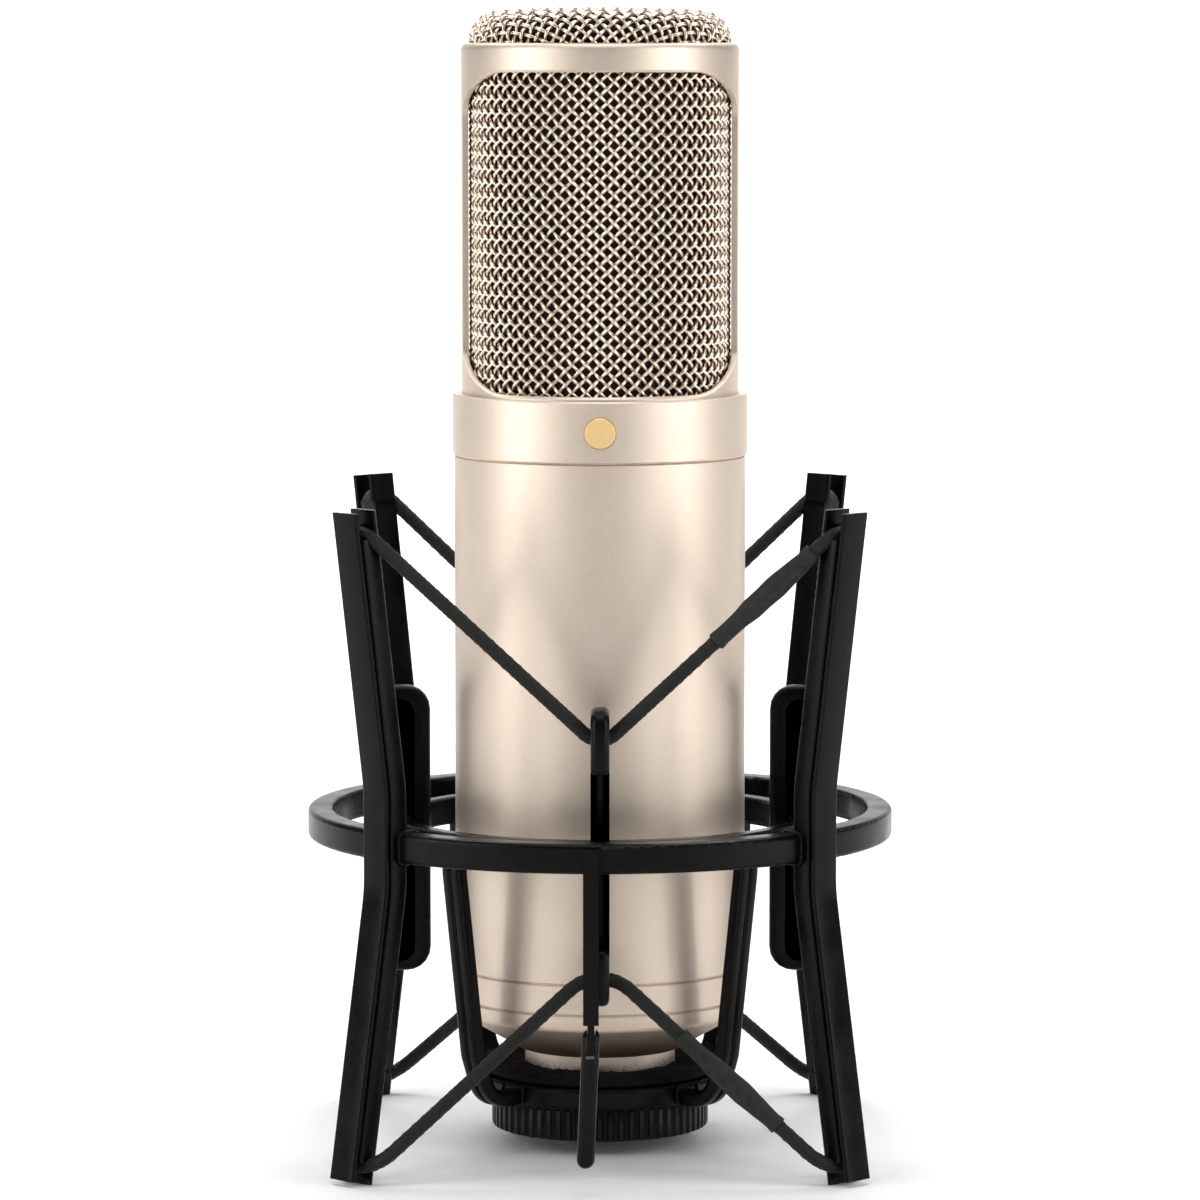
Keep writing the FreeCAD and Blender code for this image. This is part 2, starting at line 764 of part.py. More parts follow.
def make_lever():
    """A rounded bail whose forked top straddles the strap on a pin."""
    side = "0 - strap_shift - lever_width / 2"
    bar = block("lever_block", ("lever_width", "lever_gauge", "pivot_height + lever_crown - lever_bottom"),
                (side, STRAP_MIDDLE + " - lever_gauge / 2", "lever_bottom"))
    slot = block("lever_slot", ("tongue_width + 2 * fork_gap", "2 * lever_gauge", "2 * lever_slot_depth"),
                 ("0 - strap_shift - tongue_width / 2 - fork_gap", STRAP_MIDDLE + " - lever_gauge",
                  "strap_bottom - strap_room"))
    hole = cylinder("lever_eye", "pivot_radius + bolt_gap", "2 * lever_width",
                    ("0 - strap_shift - lever_width", STRAP_MIDDLE, "pivot_height"), SIDEWAYS)
    document.recompute()
    soft = fillet("lever_rounded", bar, number("lever_round"),
                  lambda edge: abs(edge.tangentAt(0).z) > PARALLEL)
    forked = boolean("Cut", "lever_forked", soft, slot)
    keep(boolean("Cut", "lever_drilled", forked, hole), "front_lever")


def make_rear_strap():
    """The strap behind the ring with the eye and the bolt that the stand socket tilts on."""
    bar = block("rear_bar", ("rear_gauge", "tilt_reach + tilt_eye - ring_radius - strap_gap",
                             "ring_top - ring_edge - tilt_height"),
                ("0 - rear_gauge / 2", "ring_radius + strap_gap", "tilt_height"))
    eye = cylinder("rear_eye", "tilt_eye", "rear_gauge", ("0 - rear_gauge / 2", "tilt_reach", "tilt_height"),
                   SIDEWAYS)
    joined = boolean("Fuse", "rear_joined", bar, eye)
    hole = cylinder("rear_hole", "bolt_radius", "2 * rear_gauge",
                    ("0 - rear_gauge", "tilt_reach", "tilt_height"), SIDEWAYS)
    keep(boolean("Cut", "rear_cut", joined, hole), "rear_strap")
    shank = cylinder("bolt_shank", "bolt_radius", "bolt_length",
                     ("0 - rear_gauge / 2", "tilt_reach", "tilt_height"), SIDEWAYS)
    head = cylinder("bolt_head", "bolt_head_radius", "bolt_head_gauge",
                    ("0 - rear_gauge / 2 - bolt_head_gauge", "tilt_reach", "tilt_height"), SIDEWAYS)
    keep(boolean("Fuse", "bolt_fused", shank, head), "swivel_bolt")


def make_stand_socket():
    """A barrel with a thread for the stand, and the ear that hangs it on the bolt."""
    lug = block("socket_lug", ("ear_gauge", "tilt_eye * 2", "tilt_height - socket_top + lug_sink"),
                ("ear_start", "tilt_reach - tilt_eye", "socket_top - lug_sink"))
    eye = cylinder("socket_eye", "tilt_eye", "ear_gauge",
                   ("ear_start", "tilt_reach", "tilt_height"), SIDEWAYS)
    barrel = cylinder("socket_barrel", "socket_radius", "socket_top - socket_bottom",
                      ("0", "tilt_reach", "socket_bottom"))
    ear = boolean("Fuse", "socket_ear", lug, eye)
    whole = boolean("Fuse", "socket_whole", barrel, ear)
    bore = cylinder("socket_bored", "socket_bore", "socket_thread", ("0", "tilt_reach", "socket_bottom"))
    drilled = boolean("Cut", "socket_drilled", whole, bore)
    hole = cylinder("socket_hole", "bolt_radius + bolt_gap", "4 * ear_gauge",
                    ("0", "tilt_reach", "tilt_height"), SIDEWAYS)
    keep(boolean("Cut", "socket_cut", drilled, hole), "stand_socket")


def make_knob():
    disc = cylinder("knob_disc", "knob_radius", "knob_gauge",
                    ("knob_start", "tilt_reach", "tilt_height"), SIDEWAYS)
    hole = cylinder("knob_hole", "bolt_radius + bolt_gap", "3 * knob_gauge",
                    ("knob_start - knob_gauge", "tilt_reach", "tilt_height"), SIDEWAYS)
    keep(boolean("Cut", "knob_cut", disc, hole), "swivel_knob")


# Cradle.

def hook_outline():
    """A bar with an arched hook at its top and an upturned hook at its foot."""
    outer_bar = "hook_inner + hook_bar"
    inner_tab = "hook_outer - hook_tab"
    return [
        ("hook_inner", "hook_bottom"),
        ("hook_outer", "hook_bottom"),
        ("hook_outer", "lower_tab_end"),
        (inner_tab, "lower_tab_end"),
        (inner_tab, "hook_bottom + hook_bend"),
        (outer_bar, "hook_bottom + hook_bend"),
        (outer_bar, "hook_top - hook_arch"),
        (inner_tab, "hook_top - hook_arch"),
        (inner_tab, "upper_tab_end"),
        ("hook_outer", "upper_tab_end"),
        ("hook_outer", "hook_top"),
        ("hook_inner", "hook_top"),
    ]


def make_hooks():
    inner_tab = "hook_outer - hook_tab"
    rounds = [
        ("hook_inner", "hook_bottom", "hook_back_round"),
        ("hook_inner", "hook_top", "hook_back_round"),
        ("hook_outer", "hook_bottom", "hook_front_round"),
        ("hook_outer", "hook_top", "hook_front_round"),
    ]
    for end in ("upper_tab_end", "lower_tab_end"):
        rounds += [("hook_outer", end, "tab_round"), (inner_tab, end, "tab_round")]
    for side, azimuth in QUARTERS:
        keep(plate(side + "_hook_plate", hook_outline(), "hook_gauge", azimuth, rounds), side + "_hook")


def make_arms():
    """Four straps from the hoop down and in under the microphone to the base plate."""
    middle = "hoop_inner / 2 + hoop_outer / 2"
    outline = [
        (middle + " - arm_gauge / 2", "hoop_bottom"),
        ("arm_bend_radius - arm_gauge / 2", "arm_bend_height"),
        ("arm_bend_radius - arm_gauge - arm_foot_inset", "base_bottom + arm_gauge"),
        ("arm_foot_reach", "base_bottom + arm_gauge"),
        ("arm_foot_reach", "base_bottom"),
        ("arm_bend_radius - arm_foot_inset", "base_bottom"),
        ("arm_bend_radius + arm_gauge / 2", "arm_bend_height"),
        (middle + " + arm_gauge / 2", "hoop_bottom"),
    ]
    rounds = [
        ("arm_bend_radius - arm_foot_inset", "base_bottom", "arm_foot_round"),
        ("arm_bend_radius - arm_gauge - arm_foot_inset", "base_bottom + arm_gauge", "arm_inner_round"),
        ("arm_bend_radius + arm_gauge / 2", "arm_bend_height", "arm_bend_round"),
        ("arm_bend_radius - arm_gauge / 2", "arm_bend_height", "arm_bend_round"),
    ]
    for side, azimuth in CORNERS:
        strap = plate(side + "_strap", outline, "arm_width", azimuth, rounds)
        seat = cylinder(side + "_seat", "base_radius", "2 * base_top", ("0", "0", "0"))
        keep(boolean("Cut", side + "_trimmed", strap, seat), side + "_arm")


def make_cradle():
    hoop = tube_outline("hoop_inner", "hoop_outer", "hoop_bottom", "hoop_top")
    edges = [(radius, height, "ring_edge") for radius in ("hoop_outer", "hoop_inner")
             for height in ("hoop_top", "hoop_bottom")]
    keep(lathe("hoop_body", hoop, edges), "inner_hoop")
    base = tube_outline("base_bore", "base_radius", "base_bottom", "base_top")
    rims = [("base_radius", height, "ring_edge") for height in ("base_top", "base_bottom")]
    keep(lathe("base_body", base, rims), "base_plate")
    keep(lathe("felt_body", tube_outline("base_bore", "felt_radius", "base_top", "flange_bottom")),
         "felt_washer")
    make_hooks()
    make_arms()


def export_parts():
    """Stops on any failed object, then writes one STEP file for each sub-part."""
    document.recompute()
    for thing in document.Objects:
        if "Invalid" in thing.State or "Error" in thing.State:
            raise RuntimeError("%s is in state %s" % (thing.Label, thing.State))
    for part in PARTS:
        if part.Shape.isNull() or not part.Shape.isValid() or not part.Shape.Solids:
            raise RuntimeError("%s has no valid solid" % part.Label)
    os.makedirs("parts", exist_ok=True)
    for part in PARTS:
        part.Shape.exportStep("parts/%s.step" % part.Label)
    print("%d sub-parts written" % len(PARTS))


make_bottom_cap()
make_shells()
make_head_cage()
make_mesh("grille_basket", "grille_radius", "grille_gauge", "grille_top", "grille_shoulder")
make_mesh("inner_screen", "screen_radius", "screen_gauge", "screen_top", "screen_shoulder")
make_neck()
make_connector()
make_lock_nut()
make_chassis()
make_electronics()
make_capsule()
outer_ring = make_ring()
upper_corners, upper_way = make_cord("upper", UPPER_SPLIT)
lower_corners, lower_way = make_cord("lower", LOWER_SPLIT)
make_sleeve("upper_sleeve", upper_corners, UPPER_SPLIT)
make_sleeve("lower_sleeve", lower_corners, LOWER_SPLIT)
for corner_name, corner_azimuth in CORNERS:
    make_upright(corner_name + "_upright", corner_azimuth, outer_ring, (upper_way, lower_way))
make_front_strap()
make_lever()
make_rear_strap()
make_stand_socket()
make_knob()
make_cradle()
export_parts()
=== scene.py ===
import itertools
import json
import math

import bmesh
import bpy
import numpy as np
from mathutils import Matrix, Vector, noise


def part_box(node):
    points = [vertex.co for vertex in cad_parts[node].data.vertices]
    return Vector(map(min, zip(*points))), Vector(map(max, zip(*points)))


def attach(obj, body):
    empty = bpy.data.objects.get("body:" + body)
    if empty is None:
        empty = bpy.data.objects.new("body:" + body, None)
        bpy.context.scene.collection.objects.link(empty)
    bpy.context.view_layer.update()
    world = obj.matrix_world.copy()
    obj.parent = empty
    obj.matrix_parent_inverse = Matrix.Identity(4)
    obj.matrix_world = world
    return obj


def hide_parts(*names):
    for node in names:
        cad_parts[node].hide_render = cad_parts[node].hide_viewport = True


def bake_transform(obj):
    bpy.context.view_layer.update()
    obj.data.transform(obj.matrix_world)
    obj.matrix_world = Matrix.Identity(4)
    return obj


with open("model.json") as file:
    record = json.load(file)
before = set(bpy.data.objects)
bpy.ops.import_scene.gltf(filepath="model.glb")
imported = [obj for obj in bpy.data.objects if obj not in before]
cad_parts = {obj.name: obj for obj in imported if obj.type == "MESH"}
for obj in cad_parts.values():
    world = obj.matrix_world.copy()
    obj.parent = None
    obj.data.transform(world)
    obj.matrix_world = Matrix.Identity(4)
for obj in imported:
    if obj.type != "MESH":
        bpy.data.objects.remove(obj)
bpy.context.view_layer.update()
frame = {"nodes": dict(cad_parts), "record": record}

# The looks of a side-address condenser microphone in its elastic suspension mount.
# Every length is in metres, in the frame's own axes.

MM = 0.001
UP = np.array([0.0, 0.0, 1.0])
CORNERS = {"front_right": -45, "rear_right": 45, "rear_left": 135, "front_left": -135}
QUARTERS = {"front": -90, "right": 0, "rear": 90, "left": 180}


def along(azimuth, radius, height):
    """The point at a radius and a height in the direction of an azimuth in degrees."""
    turn = math.radians(azimuth)
    return np.array([radius * math.cos(turn), radius * math.sin(turn), height])


def unit(vectors):
    return vectors / np.linalg.norm(vectors, axis=-1, keepdims=True)


def full_turn(sides):
    """Angles in radians, evenly spaced once round."""
    return np.arange(sides) * 2 * math.pi / sides


def ring(turn, reach, height):
    """Points round the axis; the reach and the height may vary with the turn."""
    return np.stack([reach * np.cos(turn), reach * np.sin(turn), np.broadcast_to(height, turn.shape)], axis=1)


# Materials.

class Finish:
    """A Principled material whose textures lie in object coordinates, with sizes in metres."""

    def __init__(self, name, colour, roughness, metallic=0.0, **sockets):
        self.material = bpy.data.materials.new(name)
        self.material.use_nodes = True
        self.tree = self.material.node_tree
        self.shader = self.tree.nodes["Principled BSDF"]
        self.shader.inputs["Base Color"].default_value = (*colour, 1)
        self.shader.inputs["Roughness"].default_value = roughness
        self.shader.inputs["Metallic"].default_value = metallic
        for socket, value in sockets.items():
            self.shader.inputs[socket.replace("_", " ")].default_value = value
        self.place = self.tree.nodes.new("ShaderNodeTexCoord").outputs["Object"]
        self.normal = None

    def node(self, kind, inputs, **settings):
        made = self.tree.nodes.new("ShaderNode" + kind)
        for name, value in settings.items():
            setattr(made, name, value)
        for name, value in inputs.items():
            if isinstance(value, bpy.types.NodeSocket):
                self.tree.links.new(value, made.inputs[name])
            else:
                made.inputs[name].default_value = value
        return made

    def stretched(self, stretch):
        return self.node("Mapping", {"Vector": self.place, "Scale": stretch}).outputs["Vector"]

    def noise(self, grain, detail=2.0, stretch=None):
        """Noise whose features are about one grain across."""
        place = self.stretched(stretch) if stretch else self.place
        inputs = {"Vector": place, "Scale": 1 / grain, "Detail": detail}
        return self.node("TexNoise", inputs).outputs["Fac"]

    def math(self, operation, first, second=0.0):
        return self.node("Math", {0: first, 1: second}, operation=operation).outputs["Value"]

    def range(self, source, low, high, start=0.3, end=0.7):
        """A value mapped from start..end, where noise mostly lies, to low..high."""
        inputs = {"Value": source, "From Min": start, "From Max": end, "To Min": low, "To Max": high}
        return self.node("MapRange", inputs).outputs["Result"]

    def tint(self, source, dark, light, start=0.3, end=0.7):
        """Base colour between two tones."""
        share = self.range(source, 0.0, 1.0, start, end)
        mixed = self.node("Mix", {"Factor": share}, data_type="RGBA")
        for socket in mixed.inputs:
            if socket.type == "RGBA" and socket.name in ("A", "B"):
                socket.default_value = (*(dark if socket.name == "A" else light), 1)
        colours = [socket for socket in mixed.outputs if socket.type == "RGBA"]
        self.tree.links.new(colours[0], self.shader.inputs["Base Color"])
        return self

    def rough(self, source, low, high):
        self.tree.links.new(self.range(source, low, high), self.shader.inputs["Roughness"])
        return self

    def bump(self, height, depth):
        """Relief of one depth, laid over any relief already there."""
        inputs = {"Height": height, "Distance": depth, "Strength": 1.0}
        if self.normal:
            inputs["Normal"] = self.normal
        self.normal = self.node("Bump", inputs).outputs["Normal"]
        self.tree.links.new(self.normal, self.shader.inputs["Normal"])
        return self

    def around(self):
        """The azimuth in radians and the height, as two values."""
        axes = self.node("SeparateXYZ", {"Vector": self.place}).outputs
        return self.math("ARCTAN2", axes["Y"], axes["X"]), axes["Z"]


def satin_metal(name, light, dark, roughness):
    """Bead-blasted plating with a fine sparkle and a slow drift of tone."""
    finish = Finish(name, light, roughness, metallic=1.0)
    fine = finish.noise(0.32 * MM, 3.0)
    slow = finish.noise(14 * MM, 1.0)
    fine_share = 0.75
    both = finish.math("ADD", finish.math("MULTIPLY", fine, fine_share),
                       finish.math("MULTIPLY", slow, 1 - fine_share))
    finish.tint(both, dark, light)
    finish.rough(fine, roughness - 0.05, roughness + 0.05)
    return finish.bump(fine, 0.012 * MM)


def powder_coat():
    """Semi-gloss black with fine orange peel, rubbed a little brighter in patches."""
    finish = Finish("black_powder_coat", (0.002, 0.002, 0.0019), 0.27, Specular_IOR_Level=0.12)
    peel = finish.noise(0.9 * MM, 2.0)
    patches = finish.noise(9 * MM, 3.0)
    finish.tint(patches, (0.0012, 0.0012, 0.0011), (0.003, 0.0029, 0.0027))
    finish.rough(patches, 0.22, 0.34)
    return finish.bump(peel, 0.03 * MM)


def gloss_black():
    """The polished black of the lever."""
    finish = Finish("gloss_black", (0.001, 0.001, 0.001), 0.12, Specular_IOR_Level=0.14)
    finish.rough(finish.noise(3 * MM, 3.0), 0.09, 0.17)
    return finish.bump(finish.noise(2 * MM), 0.02 * MM)


def fine_screen():
    """The dark inner screen: a fine plain weave round the axis with a mottled depth behind it."""
    finish = Finish("inner_screen_mesh", (0.05, 0.032, 0.022), 0.5, metallic=0.6)
    azimuth, height = finish.around()
    screen_radius = 25.4 * MM
    pitch = 0.55 * MM
    arc = finish.math("MULTIPLY", azimuth, screen_radius)
    slants = [finish.math("MULTIPLY", finish.math(way, arc, height), math.pi / pitch)
              for way in ("ADD", "SUBTRACT")]
    right, left = (finish.math("SINE", slant) for slant in slants)
    weave = finish.math("ABSOLUTE", finish.math("MULTIPLY", right, left))
    specks = finish.noise(1.4 * MM, 3.0)
    finish.tint(finish.math("MULTIPLY", weave, specks), (0.008, 0.005, 0.004), (0.17, 0.105, 0.07), 0.12, 0.6)
    return finish.bump(weave, 0.12 * MM)


def cap_painted_shade():
    """The body's plating with painted shade and painted reflection: darker and browner down the cone, where
    it faces the felt and the neck.
    """
    finish = satin_metal("champagne_cap_painted_shade", (0.80, 0.69, 0.59), (0.70, 0.59, 0.49), 0.52)
    shade_from, shade_to = 20.5 * MM, 29.5 * MM
    height = finish.around()[1]
    # Painted shade and painted reflection: darker and browner towards the bottom of the cone.
    return finish.tint(height, (0.30, 0.21, 0.15), (0.74, 0.63, 0.53), shade_from, shade_to)


def wire_metal():
    """The plated wire of the head, a little duller in places."""
    finish = Finish("champagne_wire", (0.86, 0.74, 0.62), 0.27, metallic=1.0)
    slow = finish.noise(1.6 * MM, 2.0)
    finish.tint(slow, (0.72, 0.59, 0.47), (0.93, 0.83, 0.72))
    finish.rough(slow, 0.22, 0.34)
    return finish.bump(finish.noise(0.15 * MM, 2.0), 0.004 * MM)


def plain_gold():
    """A smooth satin disc."""
    finish = Finish("gold_badge", (0.95, 0.66, 0.32), 0.36, metallic=0.3)
    tone = finish.noise(0.6 * MM)
    finish.tint(tone, (0.88, 0.6, 0.27), (0.95, 0.68, 0.33))
    return finish.bump(tone, 0.004 * MM)


def felt():
    """Black felt with pale fibres on its surface."""
    finish = Finish("black_felt", (0.004, 0.004, 0.004), 0.95, Sheen_Weight=0.08, Sheen_Roughness=0.6,
                    Specular_IOR_Level=0.1)
    finish.shader.inputs["Sheen Tint"].default_value = (0.35, 0.34, 0.33, 1)
    strands = finish.noise(0.35 * MM, 4.0, stretch=(1, 1, 2.2))
    finish.tint(strands, (0.0015, 0.0015, 0.0015), (0.008, 0.0078, 0.0076))
    return finish.bump(strands, 0.22 * MM)


def braid():
    """The cord's cover, with the threads of each strand."""
    finish = Finish("braided_cord", (0.006, 0.006, 0.0055), 0.6, Sheen_Weight=0.05, Specular_IOR_Level=0.25)
    threads = finish.noise(0.12 * MM, 3.0)
    finish.tint(threads, (0.002, 0.002, 0.0019), (0.016, 0.0155, 0.0142))
    return finish.bump(threads, 0.05 * MM)


def shrink_rubber():
    """Creased heat-shrink tubing."""
    finish = Finish("shrink_sleeve", (0.014, 0.0138, 0.013), 0.6, Specular_IOR_Level=0.3)
    creases = finish.noise(1.3 * MM, 3.0)
    finish.tint(creases, (0.010, 0.0098, 0.0092), (0.019, 0.0186, 0.0175))
    return finish.bump(creases, 0.12 * MM).bump(finish.noise(0.2 * MM), 0.015 * MM)


def grained_plastic(name, colour, light, roughness, specular=0.5):
    """Moulded plastic with a fine grain."""
    finish = Finish(name, colour, roughness, Specular_IOR_Level=specular)
    grain = finish.noise(0.25 * MM, 2.0)
    finish.tint(finish.noise(3 * MM, 3.0), colour, light)
    finish.rough(grain, roughness - 0.06, roughness + 0.08)
    return finish.bump(grain, 0.02 * MM)


def machined(name, dark, light, roughness):
    """Bare metal with fine tool marks."""
    finish = Finish(name, light, roughness, metallic=1.0)
    marks = finish.noise(0.12 * MM, 2.0, stretch=(1, 1, 0.08))
    finish.tint(marks, dark, light)
    finish.rough(finish.noise(2.5 * MM, 2.0), roughness - 0.05, roughness + 0.1)
    return finish.bump(marks, 0.006 * MM)


def printed_board():
    """Green lacquer over straight copper tracks."""
    finish = Finish("circuit_lacquer", (0.01, 0.09, 0.035), 0.25)
    tracks = finish.node("TexBrick", {"Vector": finish.stretched((1, 0, 1)), "Scale": 1 / (9 * MM),
                                      "Mortar Size": 0.03}).outputs["Fac"]
    finish.tint(tracks, (0.006, 0.06, 0.025), (0.05, 0.2, 0.07), 0.0, 1.0)
    return finish.bump(tracks, 0.03 * MM)


def can_wrap():
    """The shiny printed sleeve of a capacitor."""
    finish = Finish("capacitor_wrap", (0.015, 0.02, 0.09), 0.28)
    finish.tint(finish.noise(4 * MM), (0.01, 0.014, 0.06), (0.03, 0.04, 0.15))
    return finish.bump(finish.noise(0.6 * MM), 0.01 * MM)


def valve_envelope():
    """Clear glass, silvered by the getter towards its top."""
    finish = Finish("valve_glass", (0.9, 0.93, 0.95), 0.05, Transmission_Weight=0.85, IOR=1.5)
    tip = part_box("vacuum_valve")[1].z
    getter_from, getter_to = tip - 14 * MM, tip - 9 * MM
    top = finish.range(finish.around()[1], 0.0, 1.0, getter_from, getter_to)
    finish.tint(top, (0.93, 0.95, 0.96), (0.3, 0.3, 0.31), 0.0, 1.0)
    return finish.bump(finish.noise(3 * MM), 0.01 * MM)


FINISHES = {
    "champagne": satin_metal("champagne_satin", (0.80, 0.69, 0.59), (0.70, 0.59, 0.49), 0.5),
    "mesh": wire_metal(),
    "screen": fine_screen(),
    "gold": plain_gold(),
    "contacts": machined("gold_contacts", (0.7, 0.5, 0.2), (0.88, 0.68, 0.33), 0.22),
    "membrane": machined("gold_membrane", (0.75, 0.57, 0.25), (0.9, 0.72, 0.38), 0.18),
    "black_frame": powder_coat(),
    "lock_nut": grained_plastic("nut_black", (0.0015, 0.0015, 0.0015), (0.004, 0.004, 0.0037), 0.3, 0.2),
    "felt": felt(),
    "cord": braid(),
    "sleeve": shrink_rubber(),
    "hardware": machined("black_zinc", (0.03, 0.03, 0.032), (0.075, 0.075, 0.08), 0.33),
    "knob": grained_plastic("knob_black", (0.014, 0.014, 0.014), (0.024, 0.024, 0.024), 0.5),
    "insulator": grained_plastic("insulator_black", (0.02, 0.02, 0.02), (0.035, 0.035, 0.035), 0.45),
    "chassis": machined("chassis_alloy", (0.5, 0.5, 0.52), (0.7, 0.7, 0.72), 0.38),
    "capsule": machined("capsule_brass", (0.55, 0.4, 0.18), (0.75, 0.58, 0.3), 0.3),
    "board": printed_board(),
    "capacitor": can_wrap(),
    "valve_glass": valve_envelope(),
}
LEVER_FINISH = gloss_black()
# The bottom cap gets plating with painted shade and painted reflection down its cone.
OWN_FINISH = {"bottom_cap": cap_painted_shade()}


# Meshes.

class Shape:
    """Points and faces gathered from runs of rings."""

    def __init__(self):
        self.points = []
        self.faces = []
        self.count = 0

    def skin(self, rings, closed=False):
        """Skins a run of rings of as many points each, and caps its two ends unless it is closed."""
        rings = np.asarray(rings, float)
        count, sides = rings.shape[:2]
        ids = self.count + np.arange(count * sides).reshape(count, sides)
        here = ids if closed else ids[:-1]
        there = np.roll(ids, -1, axis=0) if closed else ids[1:]
        quads = np.stack([here, np.roll(here, -1, axis=1), np.roll(there, -1, axis=1), there], axis=-1)
        self.faces += quads.reshape(-1, 4).tolist()
        if not closed:
            self.faces.append(ids[0][::-1].tolist())
            self.faces.append(ids[-1].tolist())
        self.points.append(rings.reshape(-1, 3))
        self.count += count * sides
        return self

    def tube(self, line, normals, radii, sides=8, closed=False):
        """A round tube along a line; normals lie roughly across it and radii may vary along it."""
        ahead = np.roll(line, -1, axis=0) - np.roll(line, 1, axis=0) if closed else np.gradient(line, axis=0)
        tangents = unit(ahead)
        across = unit(np.cross(tangents, normals))
        up = np.cross(across, tangents)
        turn = full_turn(sides)
        spokes = np.cos(turn)[:, None] * across[:, None] + np.sin(turn)[:, None] * up[:, None]
        reach = np.asarray(radii, float)
        if reach.ndim < 2:
            reach = np.broadcast_to(reach, len(line))[:, None]
        return self.skin(line[:, None] + spokes * reach[..., None], closed)

    def piece(self, name, slot, crease=40, finish=None):
        """The object of this shape, in the finish of its material slot unless it has one of its own."""
        mesh = bpy.data.meshes.new(name)
        mesh.from_pydata(np.concatenate(self.points).tolist(), [], self.faces)
        work = bmesh.new()
        work.from_mesh(mesh)
        bmesh.ops.recalc_face_normals(work, faces=work.faces)
        work.to_mesh(mesh)
        work.free()
        mesh.polygons.foreach_set("use_smooth", [True] * len(mesh.polygons))
        mesh.set_sharp_from_angle(angle=math.radians(crease))
        mesh.materials.append((finish or FINISHES[slot]).material)
        made = bpy.data.objects.new(name, mesh)
        bpy.context.scene.collection.objects.link(made)
        return made


NEARLY_STRAIGHT = 1.56


def rounded(outline, radii, steps=5):
    """A closed outline of flat points with each corner turned into an arc of its own radius."""
    points = np.asarray(outline, float)
    radii = np.broadcast_to(radii, len(points))
    made = []
    for before, corner, after, radius in zip(np.roll(points, 1, 0), points, np.roll(points, -1, 0), radii):
        back, ahead = unit(before - corner), unit(after - corner)
        half = math.acos(max(-1.0, min(1.0, float(back @ ahead)))) / 2
        if radius <= 0 or half > NEARLY_STRAIGHT:
            made.append(corner)
            continue
        centre = corner + unit(back + ahead) * radius / math.sin(half)
        start = corner + back * radius / math.tan(half) - centre
        sweep = math.pi - 2 * half
        side = math.copysign(1, start[0] * -back[1] + start[1] * back[0])
        for step in range(steps + 1):
            turn = side * sweep * step / steps
            made.append(centre + np.array([start[0] * math.cos(turn) - start[1] * math.sin(turn),
                                           start[0] * math.sin(turn) + start[1] * math.cos(turn)]))
    return np.array(made)


def bent(points, radius):
    """An open run of flat points whose inner corners are arcs."""
    radii = [0] + [radius] * (len(points) - 2) + [0]
    return rounded(points, radii, 8)


def divided(line, step):
    """The same run with extra points, about one step apart."""
    made = [line[0]]
    for start, end in zip(line[:-1], line[1:]):
        parts = max(1, round(float(np.linalg.norm(end - start)) / step))
        made += [start + (end - start) * part / parts for part in range(1, parts + 1)]
    return np.array(made)


def inset(outline, depth):
    """A flat outline moved inwards by a small depth."""
    ahead = unit(np.roll(outline, -1, 0) - outline)
    behind = np.roll(ahead, 1, 0)
    area = np.sum(outline[:, 0] * np.roll(outline[:, 1], -1) - outline[:, 1] * np.roll(outline[:, 0], -1))
    normals = np.stack([-(ahead + behind)[:, 1], (ahead + behind)[:, 0]], axis=1) * math.copysign(1, area)
    return outline + unit(normals) * depth


def radial_slab(outline, gauge, edge, azimuth):
    """A plate of radius and height points with rounded edges, standing in the plane of an azimuth."""
    outward, sideways = along(azimuth, 1, 0), along(azimuth + 90, 1, 0)
    turns = np.linspace(0, math.pi / 2, 5)
    rings = []
    for side in (-1, 1):
        for turn in turns[::-side]:
            flat = inset(outline, edge * (1 - math.sin(turn)))
            offset = side * (gauge / 2 - edge * (1 - math.cos(turn)))
            rings.append(flat[:, :1] * outward + flat[:, 1:] * UP + offset * sideways)
    return Shape().skin(rings)


# The microphone.

WIRE_RADIUS = 0.40 * MM
WEAVE_RADIUS = 26.2 * MM
WEAVE_WIRES = 58
SAMPLES_PER_CROSSING = 4
FEWEST_SAMPLES = 9
DOME_SHOULDER = 6.1 * MM
DOME_CROWN = 0.5 * MM
DOME_TUCK = 2.2 * MM
SIDE_WEAVE_DROP = 2 * MM

CAGE_TOP = 227.5 * MM
CAGE_SEAM = 224.5 * MM
CAGE_ROUND = 1.4 * MM
CAGE_WALL = 1.0 * MM
CAGE_LEDGE = 0.4 * MM
CAGE_LEDGE_DEPTH = 1 * MM
WINDOW_HALF = 27.6 * MM
WINDOW_BOTTOM = 156.4 * MM
WINDOW_TOP = 221.6 * MM
WINDOW_CORNER = 8.5 * MM
WINDOW_BEVEL = 0.5 * MM
WINDOW_STEP = 1.2 * MM
WIDEST_SINE = 0.999


